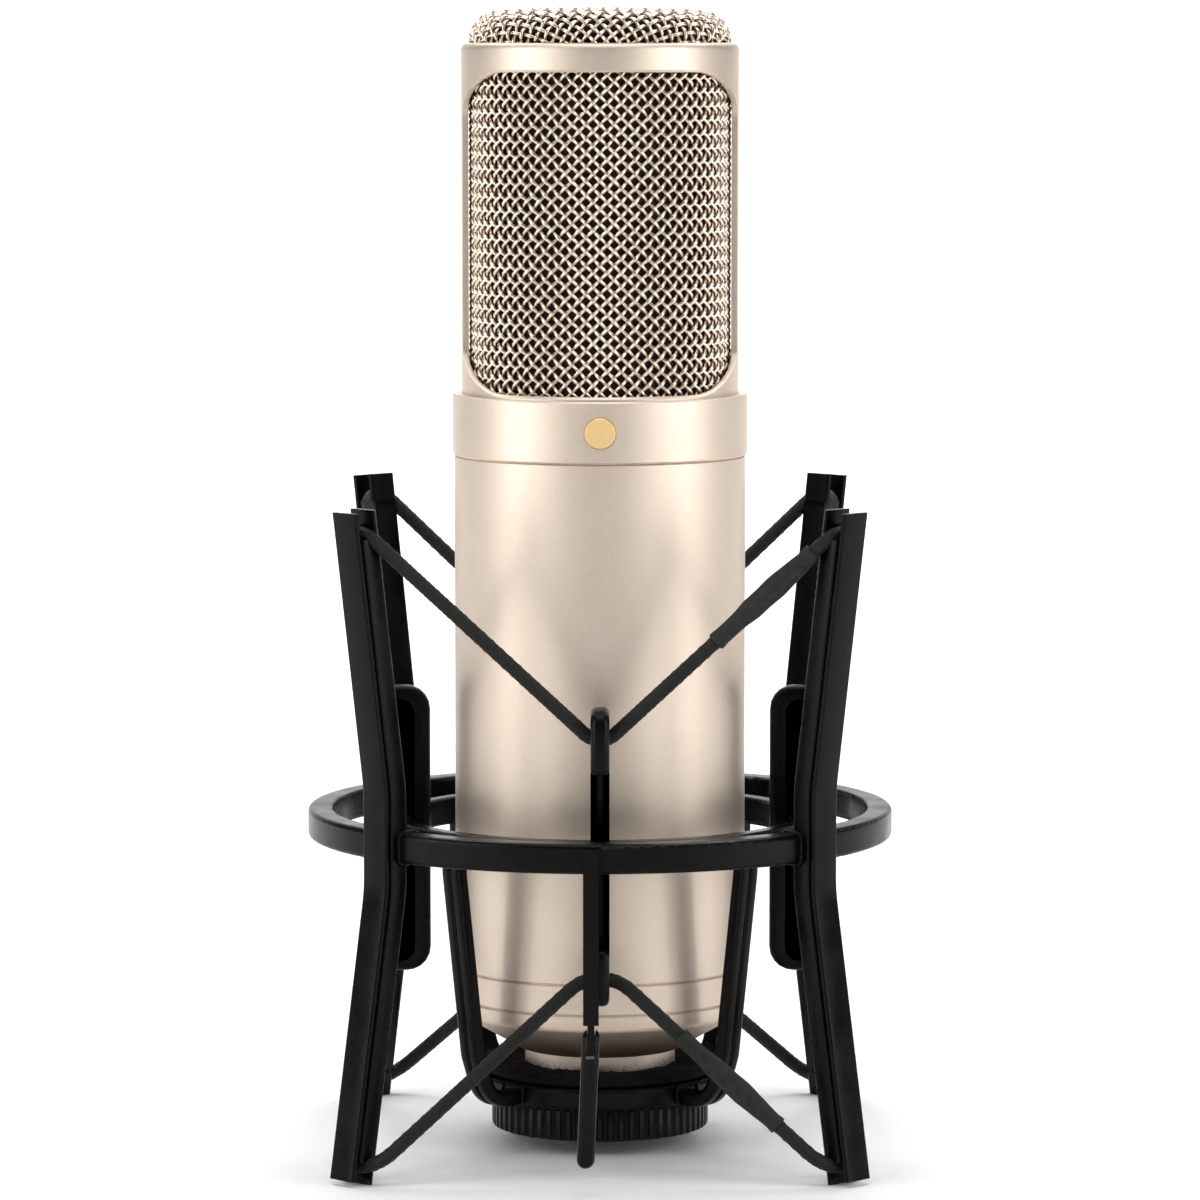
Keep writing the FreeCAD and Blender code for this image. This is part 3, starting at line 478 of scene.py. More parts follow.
def head_cage():
    """The cage's two windows with their bevelled edges, and the rounded rim above them."""
    low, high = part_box("head_cage")
    outer = high.x
    inner = outer - CAGE_WALL
    quarter = math.pi / 2
    opening = rounded([(-WINDOW_HALF, WINDOW_BOTTOM), (WINDOW_HALF, WINDOW_BOTTOM), (WINDOW_HALF, WINDOW_TOP),
                       (-WINDOW_HALF, WINDOW_TOP)], WINDOW_CORNER, 10)
    opening = divided(np.vstack([opening, opening[:1]]), WINDOW_STEP)[:-1]

    def on_wall(outline, radius):
        """Azimuths from the window's middle, and heights."""
        azimuths = np.arcsin(np.clip(outline[:, 0] / radius, -WIDEST_SINE, WIDEST_SINE))
        return np.stack([azimuths, np.clip(outline[:, 1], low.z, CAGE_SEAM)], axis=1)

    edge = on_wall(inset(opening, -WINDOW_BEVEL), outer)
    bevel_foot = on_wall(opening, outer - WINDOW_BEVEL)

    # The half of the wall round one window ends in a border, which the window's edge is spread out to.
    centre = np.array([0, (low.z + CAGE_SEAM) / 2])
    reach = np.array([quarter, (CAGE_SEAM - low.z) / 2])
    border = (edge - centre) / np.max(np.abs(edge - centre) / reach, axis=1)[:, None] + centre
    for corner in itertools.product((-quarter, quarter), (low.z, CAGE_SEAM)):
        nearest = np.argmin(np.abs(border - corner) @ (outer, 1))
        border[nearest] = corner
    shares = np.linspace(0, 1, 5)
    runs = [(border + (edge - border) * share, outer) for share in shares]
    runs += [(bevel_foot, outer - WINDOW_BEVEL), (bevel_foot, inner)]
    runs += [(edge + (border - edge) * share, inner) for share in shares]
    shape = Shape()
    for front in (-quarter, quarter):
        shape.skin([ring(front + run[:, 0], radius, run[:, 1]) for run, radius in runs], closed=True)

    rim = [(inner, CAGE_SEAM), (outer, CAGE_SEAM)]
    rim += [(outer - CAGE_ROUND * (1 - math.cos(bend)), CAGE_TOP - CAGE_ROUND * (1 - math.sin(bend)))
            for bend in np.linspace(0, quarter, 7)]
    rim += [(inner - CAGE_LEDGE, CAGE_TOP), (inner - CAGE_LEDGE, CAGE_TOP - CAGE_LEDGE_DEPTH)]
    turn = full_turn(180)
    shape.skin([ring(turn, radius, height) for radius, height in rim], closed=True)
    made = shape.piece("bevelled_head_cage", "champagne", 40)
    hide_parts("head_cage")
    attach(made, "cradle")


def badge():
    """A disc with a bevelled edge, standing on a slightly wider foot."""
    low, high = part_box("badge")
    centre = (low + high) / 2
    radius = (high.x - low.x) / 2
    foot, disc, face, pole = (radius * share for share in (0.99, 0.93, 0.87, 0.02))
    foot_depth, bevel_depth = low.y + 0.5 * MM, low.y + 0.2 * MM
    profile = [(foot, high.y), (foot, foot_depth), (disc, foot_depth), (disc, bevel_depth), (face, low.y),
               (pole, low.y)]
    turn = full_turn(96)
    made = Shape().skin([np.stack([centre.x + reach * np.cos(turn), np.full(len(turn), depth),
                                   centre.z + reach * np.sin(turn)], axis=1) for reach, depth in profile])
    made = made.piece("bevelled_badge", "gold", 30)
    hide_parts("badge")
    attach(made, "cradle")


def woven_side():
    """Wires of the head at 45 degrees both ways round the axis, over and under each other."""
    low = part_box("grille_basket")[0].z
    high = CAGE_TOP - SIDE_WEAVE_DROP
    rise = math.pi * WEAVE_RADIUS / WEAVE_WIRES
    stations = int((high - low) / rise * SAMPLES_PER_CROSSING)
    heights = np.linspace(0, high - low, stations)
    for lean, name in ((1, "grille_wires_rising"), (-1, "grille_wires_falling")):
        shape = Shape()
        radii = WEAVE_RADIUS + lean * WIRE_RADIUS * np.cos(WEAVE_WIRES * heights / WEAVE_RADIUS)
        for index in range(WEAVE_WIRES):
            turn = 2 * math.pi * index / WEAVE_WIRES + lean * heights / WEAVE_RADIUS
            outward = np.stack([np.cos(turn), np.sin(turn), np.zeros(stations)], axis=1)
            shape.tube(outward * radii[:, None] + (low + heights)[:, None] * UP, outward, WIRE_RADIUS, 6)
        made = shape.piece(name, "mesh", 180)
        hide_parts("grille_basket")
        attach(made, "cradle")


def dome_surface(reach):
    """Radius, height and both parts of the normal at a distance over the dome from its top."""
    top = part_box("grille_basket")[1].z - 2 * WIRE_RADIUS
    flat = WEAVE_RADIUS - DOME_SHOULDER
    turn = np.clip((reach - flat) / DOME_SHOULDER, 0, math.pi / 2)
    drop = np.clip(reach - flat - DOME_SHOULDER * math.pi / 2, 0, None)
    radius = np.minimum(reach, flat) + DOME_SHOULDER * np.sin(turn)
    sag = DOME_CROWN * np.clip(reach / flat, 0, 1) ** 2
    height = top - sag - (DOME_SHOULDER - DOME_CROWN) * (1 - np.cos(turn)) - drop
    return radius, height, np.sin(turn), np.cos(turn)


def woven_dome():
    """A disc of the same weave drawn over the top and down behind the rim of the cage."""
    pitch = math.sqrt(2) * math.pi * WEAVE_RADIUS / WEAVE_WIRES
    edge = WEAVE_RADIUS - DOME_SHOULDER + DOME_SHOULDER * math.pi / 2 + DOME_TUCK
    across = int(edge / pitch)
    for lean, name in ((1, "dome_wires_right"), (-1, "dome_wires_left")):
        shape = Shape()
        run = along(lean * 45, 1, 0)
        side = along(lean * 45 + 90, 1, 0)
        for index in range(-across, across + 1):
            offset = index * pitch
            half = math.sqrt(edge ** 2 - offset ** 2)
            stations = max(FEWEST_SAMPLES, int(2 * half / pitch * SAMPLES_PER_CROSSING))
            travel = np.linspace(-half, half, stations)
            flat = travel[:, None] * run + offset * side
            reach = np.linalg.norm(flat, axis=1)
            radius, height, outward, upward = dome_surface(reach)
            spoke = flat / np.maximum(reach, 1e-9)[:, None]
            normals = spoke * outward[:, None] + UP * upward[:, None]
            crimp = lean * (-1) ** index * WIRE_RADIUS * np.cos(math.pi * travel / pitch)
            shape.tube(spoke * radius[:, None] + height[:, None] * UP + normals * crimp[:, None],
                       normals, WIRE_RADIUS, 6)
        made = shape.piece(name, "mesh", 180)
        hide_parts("grille_basket")
        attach(made, "cradle")


def lock_nut():
    """The ring nut under the base plate, with a grip of upright ribs and a rounded lower edge."""
    low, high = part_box("lock_nut")
    radius = high.x
    bore = 13.08 * MM
    ribs, samples = 64, 10
    rib_depth = 0.6 * MM
    rib_width, rib_slope = 0.62, 1.5
    edge = 0.7 * MM
    groove_start, groove_end = bore + 5 * MM, radius - 3 * MM
    groove_depth, groove_slope = 0.5 * MM, 0.4 * MM
    turn = full_turn(ribs * samples)
    gaps = 1 - np.clip(rib_width + rib_slope * np.cos(ribs * turn), 0, 1)

    # Each point of the profile is a radius, a height and the share of the ribs' depth there.
    groove_floor = low.z + groove_depth
    profile = [(bore, low.z, 0), (groove_start, low.z, 0), (groove_start + groove_slope, groove_floor, 0),
               (groove_end - groove_slope, groove_floor, 0), (groove_end, low.z, 0)]
    profile += [(radius - edge + edge * math.sin(bend), low.z + edge - edge * math.cos(bend), min(1.0, bend))
                for bend in np.linspace(0, math.pi / 2, 7)]
    top_edge = [(0.0, 0.7, 1.0), (0.1, 0.5, 0.4), (0.4, 0.2, 0.0), (1.0, 0.0, 0.0)]
    profile += [(radius - inward * MM, high.z - down * MM, share) for inward, down, share in top_edge]
    profile += [(bore, high.z, 0)]
    rings = [ring(turn, reach - rib_depth * share * gaps, height) for reach, height, share in profile]
    made = Shape().skin(rings, closed=True).piece("ribbed_lock_nut", "lock_nut", 55)
    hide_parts("lock_nut")
    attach(made, "nut")


def felt_washer():
    """A torn-edged felt ring with loose fibres, squeezed up round the neck's flange."""
    low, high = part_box("felt_washer")
    bore = 14.0 * MM
    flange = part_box("threaded_neck")[1].x
    rim = high.x
    swell = 0.7 * MM
    skin_gap = 0.1 * MM
    coarse, fine = 3.2 * MM, 1.1 * MM
    turn = full_turn(240)
    spokes = ring(turn, 1, 0)
    foot = low.z + skin_gap / 2
    top = high.z - skin_gap
    profile = [(bore, foot), (rim - 1.4 * MM, foot), (rim, low.z + 0.7 * MM), (rim + 0.3 * MM, top),
               (rim - 0.6 * MM, high.z + swell * 0.55), (rim - 2.6 * MM, high.z + swell),
               (flange + 1.8 * MM, high.z + swell * 0.7), (flange + 0.5 * MM, high.z + skin_gap),
               (flange - 1 * MM, top), (bore, top)]
    rings = []
    for reach, height in profile:
        edge = spokes * reach + height * UP
        loose = reach > flange + skin_gap and height > low.z + 0.5 * MM
        if loose:
            lumps = [noise.noise(Vector(point) / fine) + noise.noise(Vector(point) / coarse)
                     for point in edge]
            edge = edge + (spokes * 0.35 + UP * 0.45) * np.array(lumps)[:, None] * MM
        rings.append(edge)
    shape = Shape().skin(rings, closed=True)

    fibres = 2400
    fibre_radius = 0.03 * MM
    draw = np.random.default_rng(11)
    for _ in range(fibres):
        azimuth = draw.uniform(0, 360)
        reach = draw.uniform(flange + 1.2 * MM, rim + 0.3 * MM)
        root = along(azimuth, reach, high.z + draw.uniform(0.2, 0.9) * swell)
        lean = unit(along(azimuth, draw.uniform(0, 1.2), 0) + UP * draw.uniform(-0.3, 0.9)
                    + draw.normal(0, 0.5, 3))
        curl = draw.normal(0, 0.35, 3)
        share = np.linspace(0, 1, 4)[:, None]
        length = draw.uniform(0.5, 1.5) * MM
        line = root + (lean * share + curl * share ** 2) * length
        across = unit(np.cross(lean, UP) + 1e-3)
        shape.tube(line, np.broadcast_to(across, line.shape), fibre_radius, 3)
    made = shape.piece("fuzzy_felt_washer", "felt", 180)
    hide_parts("felt_washer")
    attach(made, "cradle")


# The suspension mount.

RAIL = np.array([(70.45, 0.0), (60.75, 58.5), (60.75, 78.7), (68.9, 135.4)]) * MM
RAIL_BEND = 34 * MM
RAIL_WIDTH = 6.8 * MM
RAIL_DEPTH = 6.2 * MM
RAIL_WALL = 1.2 * MM
RAIL_SLIT = 0.3 * MM
TOP_NOTCH = 5.8 * MM
FOOT_NOTCH = 4.8 * MM
OUTER_WALL_DROP = 0.5 * MM
OUTER_WALL_LIFT = 1.2 * MM


def stretch_of(line, bottom, top):
    """The part of a run of radius and height points between two heights."""
    ends = [(np.interp(height, line[:, 1], line[:, 0]), height) for height in (bottom, top)]
    inside = line[(line[:, 1] > bottom) & (line[:, 1] < top)]
    return np.vstack([ends[:1], inside, ends[1:]])


def uprights():
    """A folded channel with an outer wall laid over its lips, which leaves a slit along both sides.

    The side walls stop short at both ends, where the cords pass between the two walls.
    """
    half, inner = RAIL_WIDTH / 2, RAIL_WIDTH / 2 - RAIL_WALL
    back, floor, face = -RAIL_DEPTH / 2, RAIL_WALL - RAIL_DEPTH / 2, RAIL_DEPTH / 2
    under = face - RAIL_WALL
    lip = under - RAIL_SLIT
    channel = [(-half, back), (half, back), (half, lip), (inner, lip), (inner, floor), (-inner, floor),
               (-inner, lip), (-half, lip)]
    channel_radii = np.array([1.0, 1.0, 0.5, 0.3, 0.5, 0.5, 0.3, 0.5]) * MM
    web = [(-half, back), (half, back), (half, floor), (-half, floor)]
    web_radii = np.array([1.0, 1.0, 0.3, 0.3]) * MM
    plate = [(-half, under), (half, under), (half, face), (-half, face)]
    centre = divided(bent(RAIL, RAIL_BEND), 4 * MM)
    top = RAIL[-1][1]
    walls = [
        (rounded(channel, channel_radii, 4), FOOT_NOTCH, top - TOP_NOTCH),
        (rounded(web, web_radii, 4), 0.0, FOOT_NOTCH + MM),
        (rounded(web, web_radii, 4), top - TOP_NOTCH - MM, top),
        (rounded(plate, 0.5 * MM, 4), OUTER_WALL_LIFT, top - OUTER_WALL_DROP),
    ]
    for side, azimuth in CORNERS.items():
        outward, sideways = along(azimuth, 1, 0), along(azimuth + 90, 1, 0)
        shape = Shape()
        for section, bottom, end in walls:
            shape.skin([(radius + section[:, 1:]) * outward + section[:, :1] * sideways + height * UP
                        for radius, height in stretch_of(centre, bottom, end)])
        made = shape.piece(side + "_folded_upright", "black_frame", 50)
        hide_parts(side + "_upright")
        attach(made, "frame")


def hooks():
    """Plates with an arched hook at the top and an upturned hook at the foot."""
    low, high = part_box("right_hook")
    inner, outer = low.x, high.x
    bar = inner + 4.5 * MM
    tab = outer - 3.2 * MM
    arch, sill = high.z - 4.2 * MM, low.z + 3.4 * MM
    upper_tip, lower_tip = 82 * MM, 47 * MM
    gauge, edge = 3.8 * MM, 1.3 * MM
    back, front, tip, eye = 5 * MM, 3.2 * MM, 1.55 * MM, 1.6 * MM
    corners = [(inner, low.z, back), (outer, low.z, front), (outer, lower_tip, tip), (tab, lower_tip, tip),
               (tab, sill, eye), (bar, sill, eye), (bar, arch, eye), (tab, arch, eye),
               (tab, upper_tip, tip), (outer, upper_tip, tip), (outer, high.z, front), (inner, high.z, back)]
    outline = rounded([corner[:2] for corner in corners], [corner[2] for corner in corners])
    for side, azimuth in QUARTERS.items():
        made = radial_slab(outline, gauge, edge, azimuth)
        made = made.piece(side + "_rounded_hook", "black_frame", 60)
        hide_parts(side + "_hook")
        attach(made, "cradle")


def arms():
    """Pressed straps with a lengthwise crease, curving in under the microphone."""
    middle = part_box("inner_hoop")[1].x - 2.0 * MM
    top, shoulder = 66 * MM, 60 * MM
    elbow, foot = (36.6 * MM, 22 * MM), (33 * MM, 11.9 * MM)
    end = (23.5 * MM, foot[1])
    centre = divided(bent(np.array([(middle, top), (middle, shoulder), elbow, foot, end]), 6.5 * MM), 3 * MM)
    ahead = unit(np.gradient(centre, axis=0))
    half, thick = 2.6 * MM, 1.45 * MM
    crease, crease_floor = 0.55 * MM, 0.35 * thick
    outline = [(-half, -thick), (half, -thick), (half, thick), (crease, thick), (0.0, crease_floor),
               (-crease, thick), (-half, thick)]
    section = rounded(outline, np.array([0.8, 0.8, 0.8, 0.3, 0.2, 0.3, 0.8]) * MM, 3)
    for side, azimuth in CORNERS.items():
        outward, sideways = along(azimuth, 1, 0), along(azimuth + 90, 1, 0)
        rings = []
        for (radius, height), (run, rise) in zip(centre, ahead):
            normal = -rise * outward + run * UP
            rings.append(radius * outward + height * UP + section[:, 1:] * normal + section[:, :1] * sideways)
        made = Shape().skin(rings).piece(side + "_creased_arm", "black_frame", 50)
        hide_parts(side + "_arm")
        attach(made, "cradle")


def lever():
    """The rounded bail whose forked top hangs on the front strap's pin, a little askew."""
    low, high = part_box("front_lever")
    middle = (low + high) / 2
    half = (high.x - low.x) / 2
    depth = (high.y - low.y) / 2
    edge = 1.5 * MM
    lean = 1.2 * MM / (high.z - low.z)
    pivot = sum(corner.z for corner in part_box("lever_pin")) / 2
    slot_half = 0.85 * MM
    slot_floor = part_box("front_strap")[0].z - 0.8 * MM
    root_depth, root_share = 0.4 * MM, 0.8
    blunt = 0.25 * MM

    def section(height, tine=0):
        """The bail's outline at a height, or the half of it on one side of the fork's slot."""
        near = min(height - low.z, high.z - height)
        width = half * math.sqrt(1 - (1 - min(near / half, 1)) ** 2)
        thick = depth - edge + edge * math.sqrt(1 - (1 - min(near / edge, 1)) ** 2)
        flat = rounded([(-width, -thick), (width, -thick), (width, thick), (-width, thick)],
                       0.95 * min(width, thick), 6)
        across = tine * np.maximum(tine * flat[:, 0], slot_half) if tine else flat[:, 0]
        askew = middle.x + lean * (height - pivot)
        return np.stack([askew + across, middle.y + flat[:, 1], np.full(len(flat), height)], axis=1)

    bends = np.linspace(0.15, math.pi / 2, 9)
    lower_end = [section(low.z + half * (1 - math.cos(bend))) for bend in bends]
    shape = Shape().skin(lower_end + [section(slot_floor)])
    rise = [slot_floor, high.z - half]
    rise += [high.z - blunt - (half - blunt) * (1 - math.sin(bend)) for bend in bends]
    for tine in (-1, 1):
        root = section(slot_floor - root_depth, tine)
        root = root * root_share + root.mean(axis=0) * (1 - root_share)
        shape.skin([root] + [section(height, tine) for height in rise])
    made = shape.piece("rounded_lever", "black_frame", 50, LEVER_FINISH)
    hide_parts("front_lever")
    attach(made, "lever")


def knob():
    """The hand knob of the stand joint, with six grip lobes and a soft rim."""
    low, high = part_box("swivel_knob")
    centre = (low + high) / 2
    radius = (high.z - low.z) / 2
    lobes, samples = 6, 16
    lobe_depth = 0.11
    bore = 2.6 * MM
    dish = 0.3 * MM
    plain_share = 0.6
    turn = full_turn(lobes * samples)
    wave = 1 - lobe_depth * (0.5 - 0.5 * np.cos(lobes * turn))
    profile = [(bore, low.x), (radius * 0.8, low.x), (radius * 0.97, low.x + 0.8 * MM),
               (radius, low.x + 2 * MM), (radius, high.x - 2 * MM), (radius * 0.96, high.x - 0.7 * MM),
               (radius * 0.82, high.x), (radius * 0.5, high.x - dish), (bore, high.x - dish)]
    rings = []
    for reach, place in profile:
        reaches = reach * (wave if reach > radius * plain_share else 1)
        rings.append(np.stack([np.full(len(turn), place), centre.y + reaches * np.cos(turn),
                               centre.z + reaches * np.sin(turn)], axis=1))
    made = Shape().skin(rings, closed=True).piece("lobed_knob", "knob", 45)
    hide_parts("swivel_knob")
    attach(made, "knob")


def weld_ring(shape, centre, outward, width, height, bead):
    """A rippled weld bead round an upright rectangle of these half sizes."""
    outline = rounded([(-width, -height), (width, -height), (width, height), (-width, height)], 1.0 * MM, 6)
    outline = divided(np.vstack([outline, outline[:1]]), 0.35 * MM)[:-1]
    line = centre + outline[:, :1] * outward + outline[:, 1:] * UP
    spokes = unit(outline[:, :1] * outward + outline[:, 1:] * UP)
    place = np.arange(len(line))
    ripple = bead * (1 + 0.18 * np.sin(place * 1.9) + 0.12 * np.sin(place * 0.7))
    shape.tube(line, spokes, ripple, 8, closed=True)


def ring_welds():
    """Beads where the outer ring runs into the sides of the four uprights."""
    low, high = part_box("outer_ring")
    radius = high.x - 2.6 * MM
    half_width, half_height = 2.7 * MM, 3.05 * MM
    bead = 0.5 * MM
    aside = math.degrees(math.asin((RAIL_WIDTH / 2 + 0.1 * MM) / radius))
    shape = Shape()
    for azimuth in CORNERS.values():
        for side in (-1, 1):
            turn = azimuth + side * aside
            centre = along(turn, radius, (low.z + high.z) / 2)
            weld_ring(shape, centre, along(turn, 1, 0), half_width, half_height, bead)
    made = shape.piece("ring_weld_beads", "black_frame", 180)
    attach(made, "frame")


def cradle_welds():
    """Short beads where the hooks meet the inner hoop and the arms meet the base plate."""
    shape = Shape()
    hoop_low, hoop_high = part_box("inner_hoop")
    base_low, base_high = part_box("base_plate")

    def beads(azimuth, reach, aside, heights, thickness):
        """Two upright rippled beads, one on each side of an azimuth."""
        ripple = thickness + 0.1 * MM * np.sin(np.arange(len(heights)) * 2.1)
        for side in (-1, 1):
            spot = along(azimuth, reach, 0) + along(azimuth + 90, side * aside, 0)
            line = spot + heights[:, None] * UP
            shape.tube(line, np.broadcast_to(along(azimuth, 1, 0), line.shape), ripple, 8)

    hoop_heights = np.linspace(hoop_low.z + 0.4 * MM, hoop_high.z - 0.4 * MM, 14)
    for azimuth in QUARTERS.values():
        beads(azimuth, -hoop_low.y - 4.1 * MM, 2.1 * MM, hoop_heights, 0.5 * MM)
    base_heights = np.linspace(base_low.z + 0.5 * MM, base_high.z - 0.3 * MM, 10)
    for azimuth in CORNERS.values():
        beads(azimuth, base_high.x - 0.1 * MM, 2.9 * MM, base_heights, 0.42 * MM)
    made = shape.piece("cradle_weld_beads", "black_frame", 180)
    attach(made, "cradle")


# Elastic cords and their sleeves.

CORD_RADIUS = 1.4 * MM
SLEEVE_LENGTH = 26.6 * MM
SLEEVE_OVERLAP = 0.4 * MM

# Each way runs between sharp corners given as radius and height, at the hooks and at the uprights' rails.
# Its sleeve's middle is a share of the run from the front hook. It stretches from one height to the other.
UPPER = {"hook": (43.3, 87.2), "rail": (71.25, 134.7), "bends": (4.5, 4.0), "sleeve": 0.648,
         "stretch": (131.3, 88.9)}
LOWER = {"hook": (43.0, 43.8), "rail": (76.9, -4.74), "bends": (9.0, 8.0), "sleeve": 0.476,
         "stretch": (2.2, 41.0)}


def cord_corners(way):
    """Hooks and uprights by turns, from the front hook."""
    return [along(45 * step - 90, *(np.array(way["rail" if step % 2 else "hook"]) * MM)) for step in range(8)]


def cord_line(way):
    """The loop's points, straight between its bends, and the distance along it to each."""
    corners = cord_corners(way)
    line = []
    for index, corner in enumerate(corners):
        bend = way["bends"][index % 2] * MM
        back = unit(corners[index - 1] - corner)
        ahead = unit(corners[(index + 1) % 8] - corner)
        half = math.acos(float(back @ ahead)) / 2
        centre = corner + unit(back + ahead) * bend / math.sin(half)
        enter = corner + back * bend / math.tan(half) - centre
        leave = corner + ahead * bend / math.tan(half) - centre
        sweep = math.pi - 2 * half
        for share in np.linspace(0, 1, 13):
            line.append(centre + (enter * math.sin(sweep * (1 - share)) + leave * math.sin(sweep * share))
                        / math.sin(sweep))
    loop = np.array(line + line[:1])
    travel = np.concatenate([[0], np.cumsum(np.linalg.norm(np.diff(loop, axis=0), axis=1))])
    return loop, travel


def braided_cord(name, node, way):
    """A tube whose skin is a braid of sixteen flat strands, eight each way round."""
    strands = 8
    lay = 1.25 * MM
    samples = 5
    sides = 32
    core, swell = 0.9, 0.14
    flatness = 0.35
    loop, travel = cord_line(way)
    cells = round(travel[-1] / lay / 2) * 2
    stations = cells * samples
    place = np.arange(stations) * travel[-1] / stations
    line = np.stack([np.interp(place, travel, loop[:, axis]) for axis in range(3)], axis=1)
    outward = unit(line * np.array([1, 1, 0]))
    turn = np.arange(sides) / sides * strands
    steps = (np.arange(stations) / samples)[:, None]
    right = np.cos(math.pi * (turn + steps / 2))
    left = np.cos(math.pi * (turn - steps / 2))
    over = right * left > 0
    right, left = np.abs(right), np.abs(left)
    relief = np.where(over, right * left ** flatness, right ** flatness * left)
    radii = CORD_RADIUS * (core + swell * relief)
    made = Shape().tube(line, outward, radii, sides, closed=True).piece(name, "cord", 180)
    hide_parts(node)
    return made


def sleeve(name, node, way):
    """Heat-shrunk tubing over the joined ends: lumpy in the middle, with a curled lip at each end."""
    corners = cord_corners(way)
    run = unit(corners[1] - corners[0])
    middle = corners[0] + (corners[1] - corners[0]) * way["sleeve"]
    share = np.linspace(0, 1, 60)
    line = middle + run * (share - 0.5)[:, None] * SLEEVE_LENGTH
    swell_middle, swell_reach = 0.56, 0.27
    lip_place, lip_reach = 0.02, 0.025
    thin, thicker, lip, lump = 1.7, 0.5, 0.14, 0.07
    swell = np.exp(-((share - swell_middle) / swell_reach) ** 4)
    lips = sum(np.exp(-((share - place) / lip_reach) ** 2) for place in (lip_place, 1 - lip_place))
    radii = (thin + thicker * swell + lip * lips + lump * np.sin(share * 23) * swell) * MM
    turn = full_turn(24)
    oval = 1 + 0.06 * np.cos(2 * turn + 0.6) + 0.02 * np.cos(5 * turn)
    bore = np.full((1, len(turn)), CORD_RADIUS * 0.98)
    mouth = bore * 1.1
    tuck = run * SLEEVE_OVERLAP
    line = np.vstack([line[:1] + tuck, line[:1], line, line[-1:], line[-1:] - tuck])
    radii = np.vstack([bore, mouth, radii[:, None] * oval, mouth, bore])
    across = unit(np.cross(run, unit(np.cross(run, UP))))
    up = np.cross(across, run)
    spokes = np.cos(turn)[:, None] * across + np.sin(turn)[:, None] * up
    rings = line[:, None] + spokes[None] * radii[..., None]
    made = Shape().skin(rings).piece(name, "sleeve", 180)
    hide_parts(node)
    return made


def suspension():
    """The two elastic loops, which stretch between the frame and the cradle."""
    for level, way in (("upper", UPPER), ("lower", LOWER)):
        cord = braided_cord(level + "_braided_cord", level + "_cord", way)
        cover = sleeve(level + "_shrink_sleeve", level + "_sleeve", way)
        for piece in (cord, cover):
            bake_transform(piece)


# Studio.

def studio_floor():
    """A pale sweep that turns up into a wall behind the object."""
    front, back, width, radius, height = -1.2, 2.4, 3.0, 1.2, 3.0
    profile = [(front, 0.0)] + [(back + radius * math.sin(turn), radius - radius * math.cos(turn))
                                for turn in np.linspace(0, math.pi / 2, 17)] + [(back + radius, height)]
    mesh = bpy.data.meshes.new("studio_sweep")
    points = [(side * width, depth, rise) for depth, rise in profile for side in (-1, 1)]
    faces = [(2 * row, 2 * row + 1, 2 * row + 3, 2 * row + 2) for row in range(len(profile) - 1)]
    mesh.from_pydata(points, [], faces)
    mesh.polygons.foreach_set("use_smooth", [True] * len(mesh.polygons))
    paper = Finish("pale_paper", (0.93, 0.93, 0.93), 0.9)
    paper.bump(paper.noise(4 * MM), 0.02 * MM)
    mesh.materials.append(paper.material)
    sweep = bpy.data.objects.new("studio_sweep", mesh)
    bpy.context.scene.collection.objects.link(sweep)


def soft_light(name, azimuth, elevation, distance, width, height, power, target):
    """A rectangular soft box that faces the target, its azimuth counted from the front."""
    data = bpy.data.lights.new(name, "AREA")
    data.shape = "RECTANGLE"
    data.size, data.size_y = width, height
    data.energy = power
    lamp = bpy.data.objects.new(name, data)
    turn, lift = math.radians(azimuth), math.radians(elevation)
    away = Vector((math.sin(turn) * math.cos(lift), -math.cos(turn) * math.cos(lift), math.sin(lift)))
    lamp.location = target + away * distance
    lamp.rotation_euler = (-away).to_track_quat("-Z", "Y").to_euler()
    bpy.context.scene.collection.objects.link(lamp)


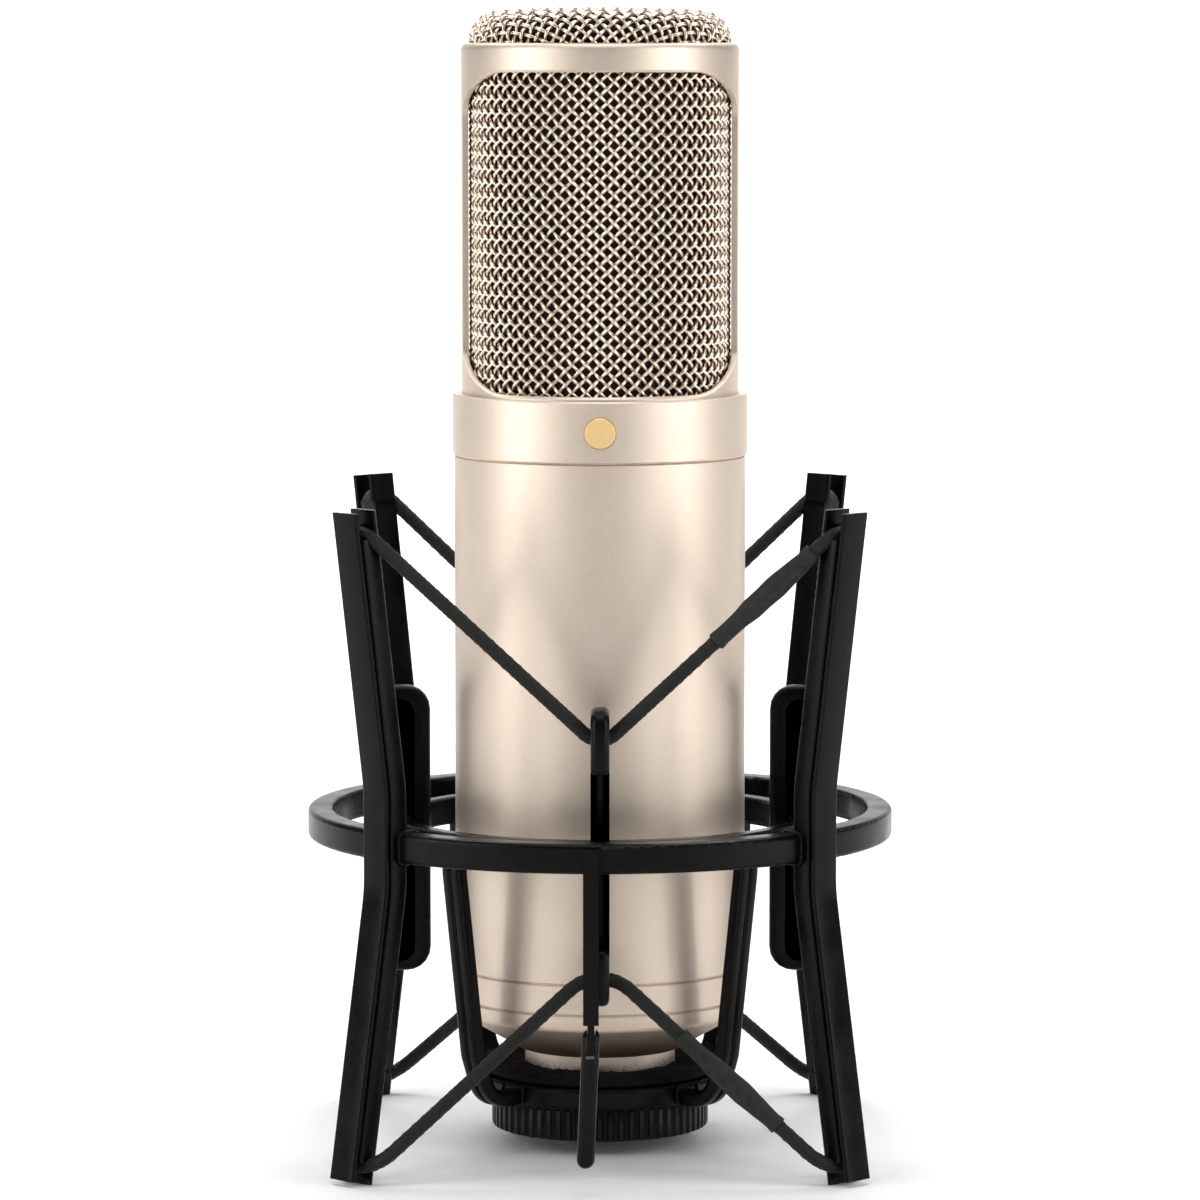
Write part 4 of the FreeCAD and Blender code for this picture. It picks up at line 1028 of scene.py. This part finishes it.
def studio_light():
    """Wide boxes and thin strips on both sides, one light overhead and one on the wall behind."""
    middle = Vector((0, 0, 0.12))
    wall_foot = Vector((0, 2.4, 0.0))
    box = {"elevation": 8, "distance": 1.1, "width": 0.8, "height": 1.3, "power": 7.2, "target": middle}
    strip = {"elevation": 4, "distance": 1.0, "width": 0.05, "height": 1.1, "power": 1.6, "target": middle}
    soft_light("soft_box_left", -58, **box)
    soft_light("soft_box_right", 58, **box)
    soft_light("strip_left", -72, **strip)
    soft_light("strip_right", 72, **strip)
    soft_light("overhead", 0, elevation=80, distance=2.0, width=1.6, height=1.6, power=18, target=middle)
    soft_light("backdrop_light", 0, elevation=60, distance=2.2, width=2.6, height=1.6, power=80,
               target=wall_foot)
    world = bpy.data.worlds.new("studio_world")
    world.use_nodes = True
    world.node_tree.nodes["Background"].inputs["Color"].default_value = (1.0, 0.99, 0.98, 1)
    world.node_tree.nodes["Background"].inputs["Strength"].default_value = 0.2
    bpy.context.scene.world = world
    bpy.context.scene.view_settings.view_transform = "Standard"


def studio_camera():
    """Nearly level, slightly above the middle of the object."""
    distance, elevation, lens = 1.2, 5.6, 174.0
    target = Vector((0, 0, 0.1127))
    lift = math.radians(elevation)
    data = bpy.data.cameras.new("camera")
    data.lens = lens
    data.sensor_width = 36.0
    data.clip_start, data.clip_end = 0.05, 50.0
    camera = bpy.data.objects.new("camera", data)
    away = Vector((0, -math.cos(lift), math.sin(lift)))
    camera.location = target + away * distance
    camera.rotation_euler = (-away).to_track_quat("-Z", "Y").to_euler()
    bpy.context.scene.collection.objects.link(camera)
    bpy.context.scene.camera = camera


def paint_frame():
    """Gives every CAD node the finish of its material slot, and the bottom cap its plating with painted shade
    and painted reflection.
    """
    for part in frame["record"]["subparts"]:
        mesh = frame["nodes"][part["node"]].data
        mesh.materials.clear()
        finish = OWN_FINISH.get(part["node"], FINISHES[part["material_slot"]])
        mesh.materials.append(finish.material)


paint_frame()
head_cage()
badge()
woven_side()
woven_dome()
lock_nut()
felt_washer()
uprights()
hooks()
arms()
lever()
knob()
ring_welds()
cradle_welds()
suspension()
studio_floor()
studio_light()
studio_camera()
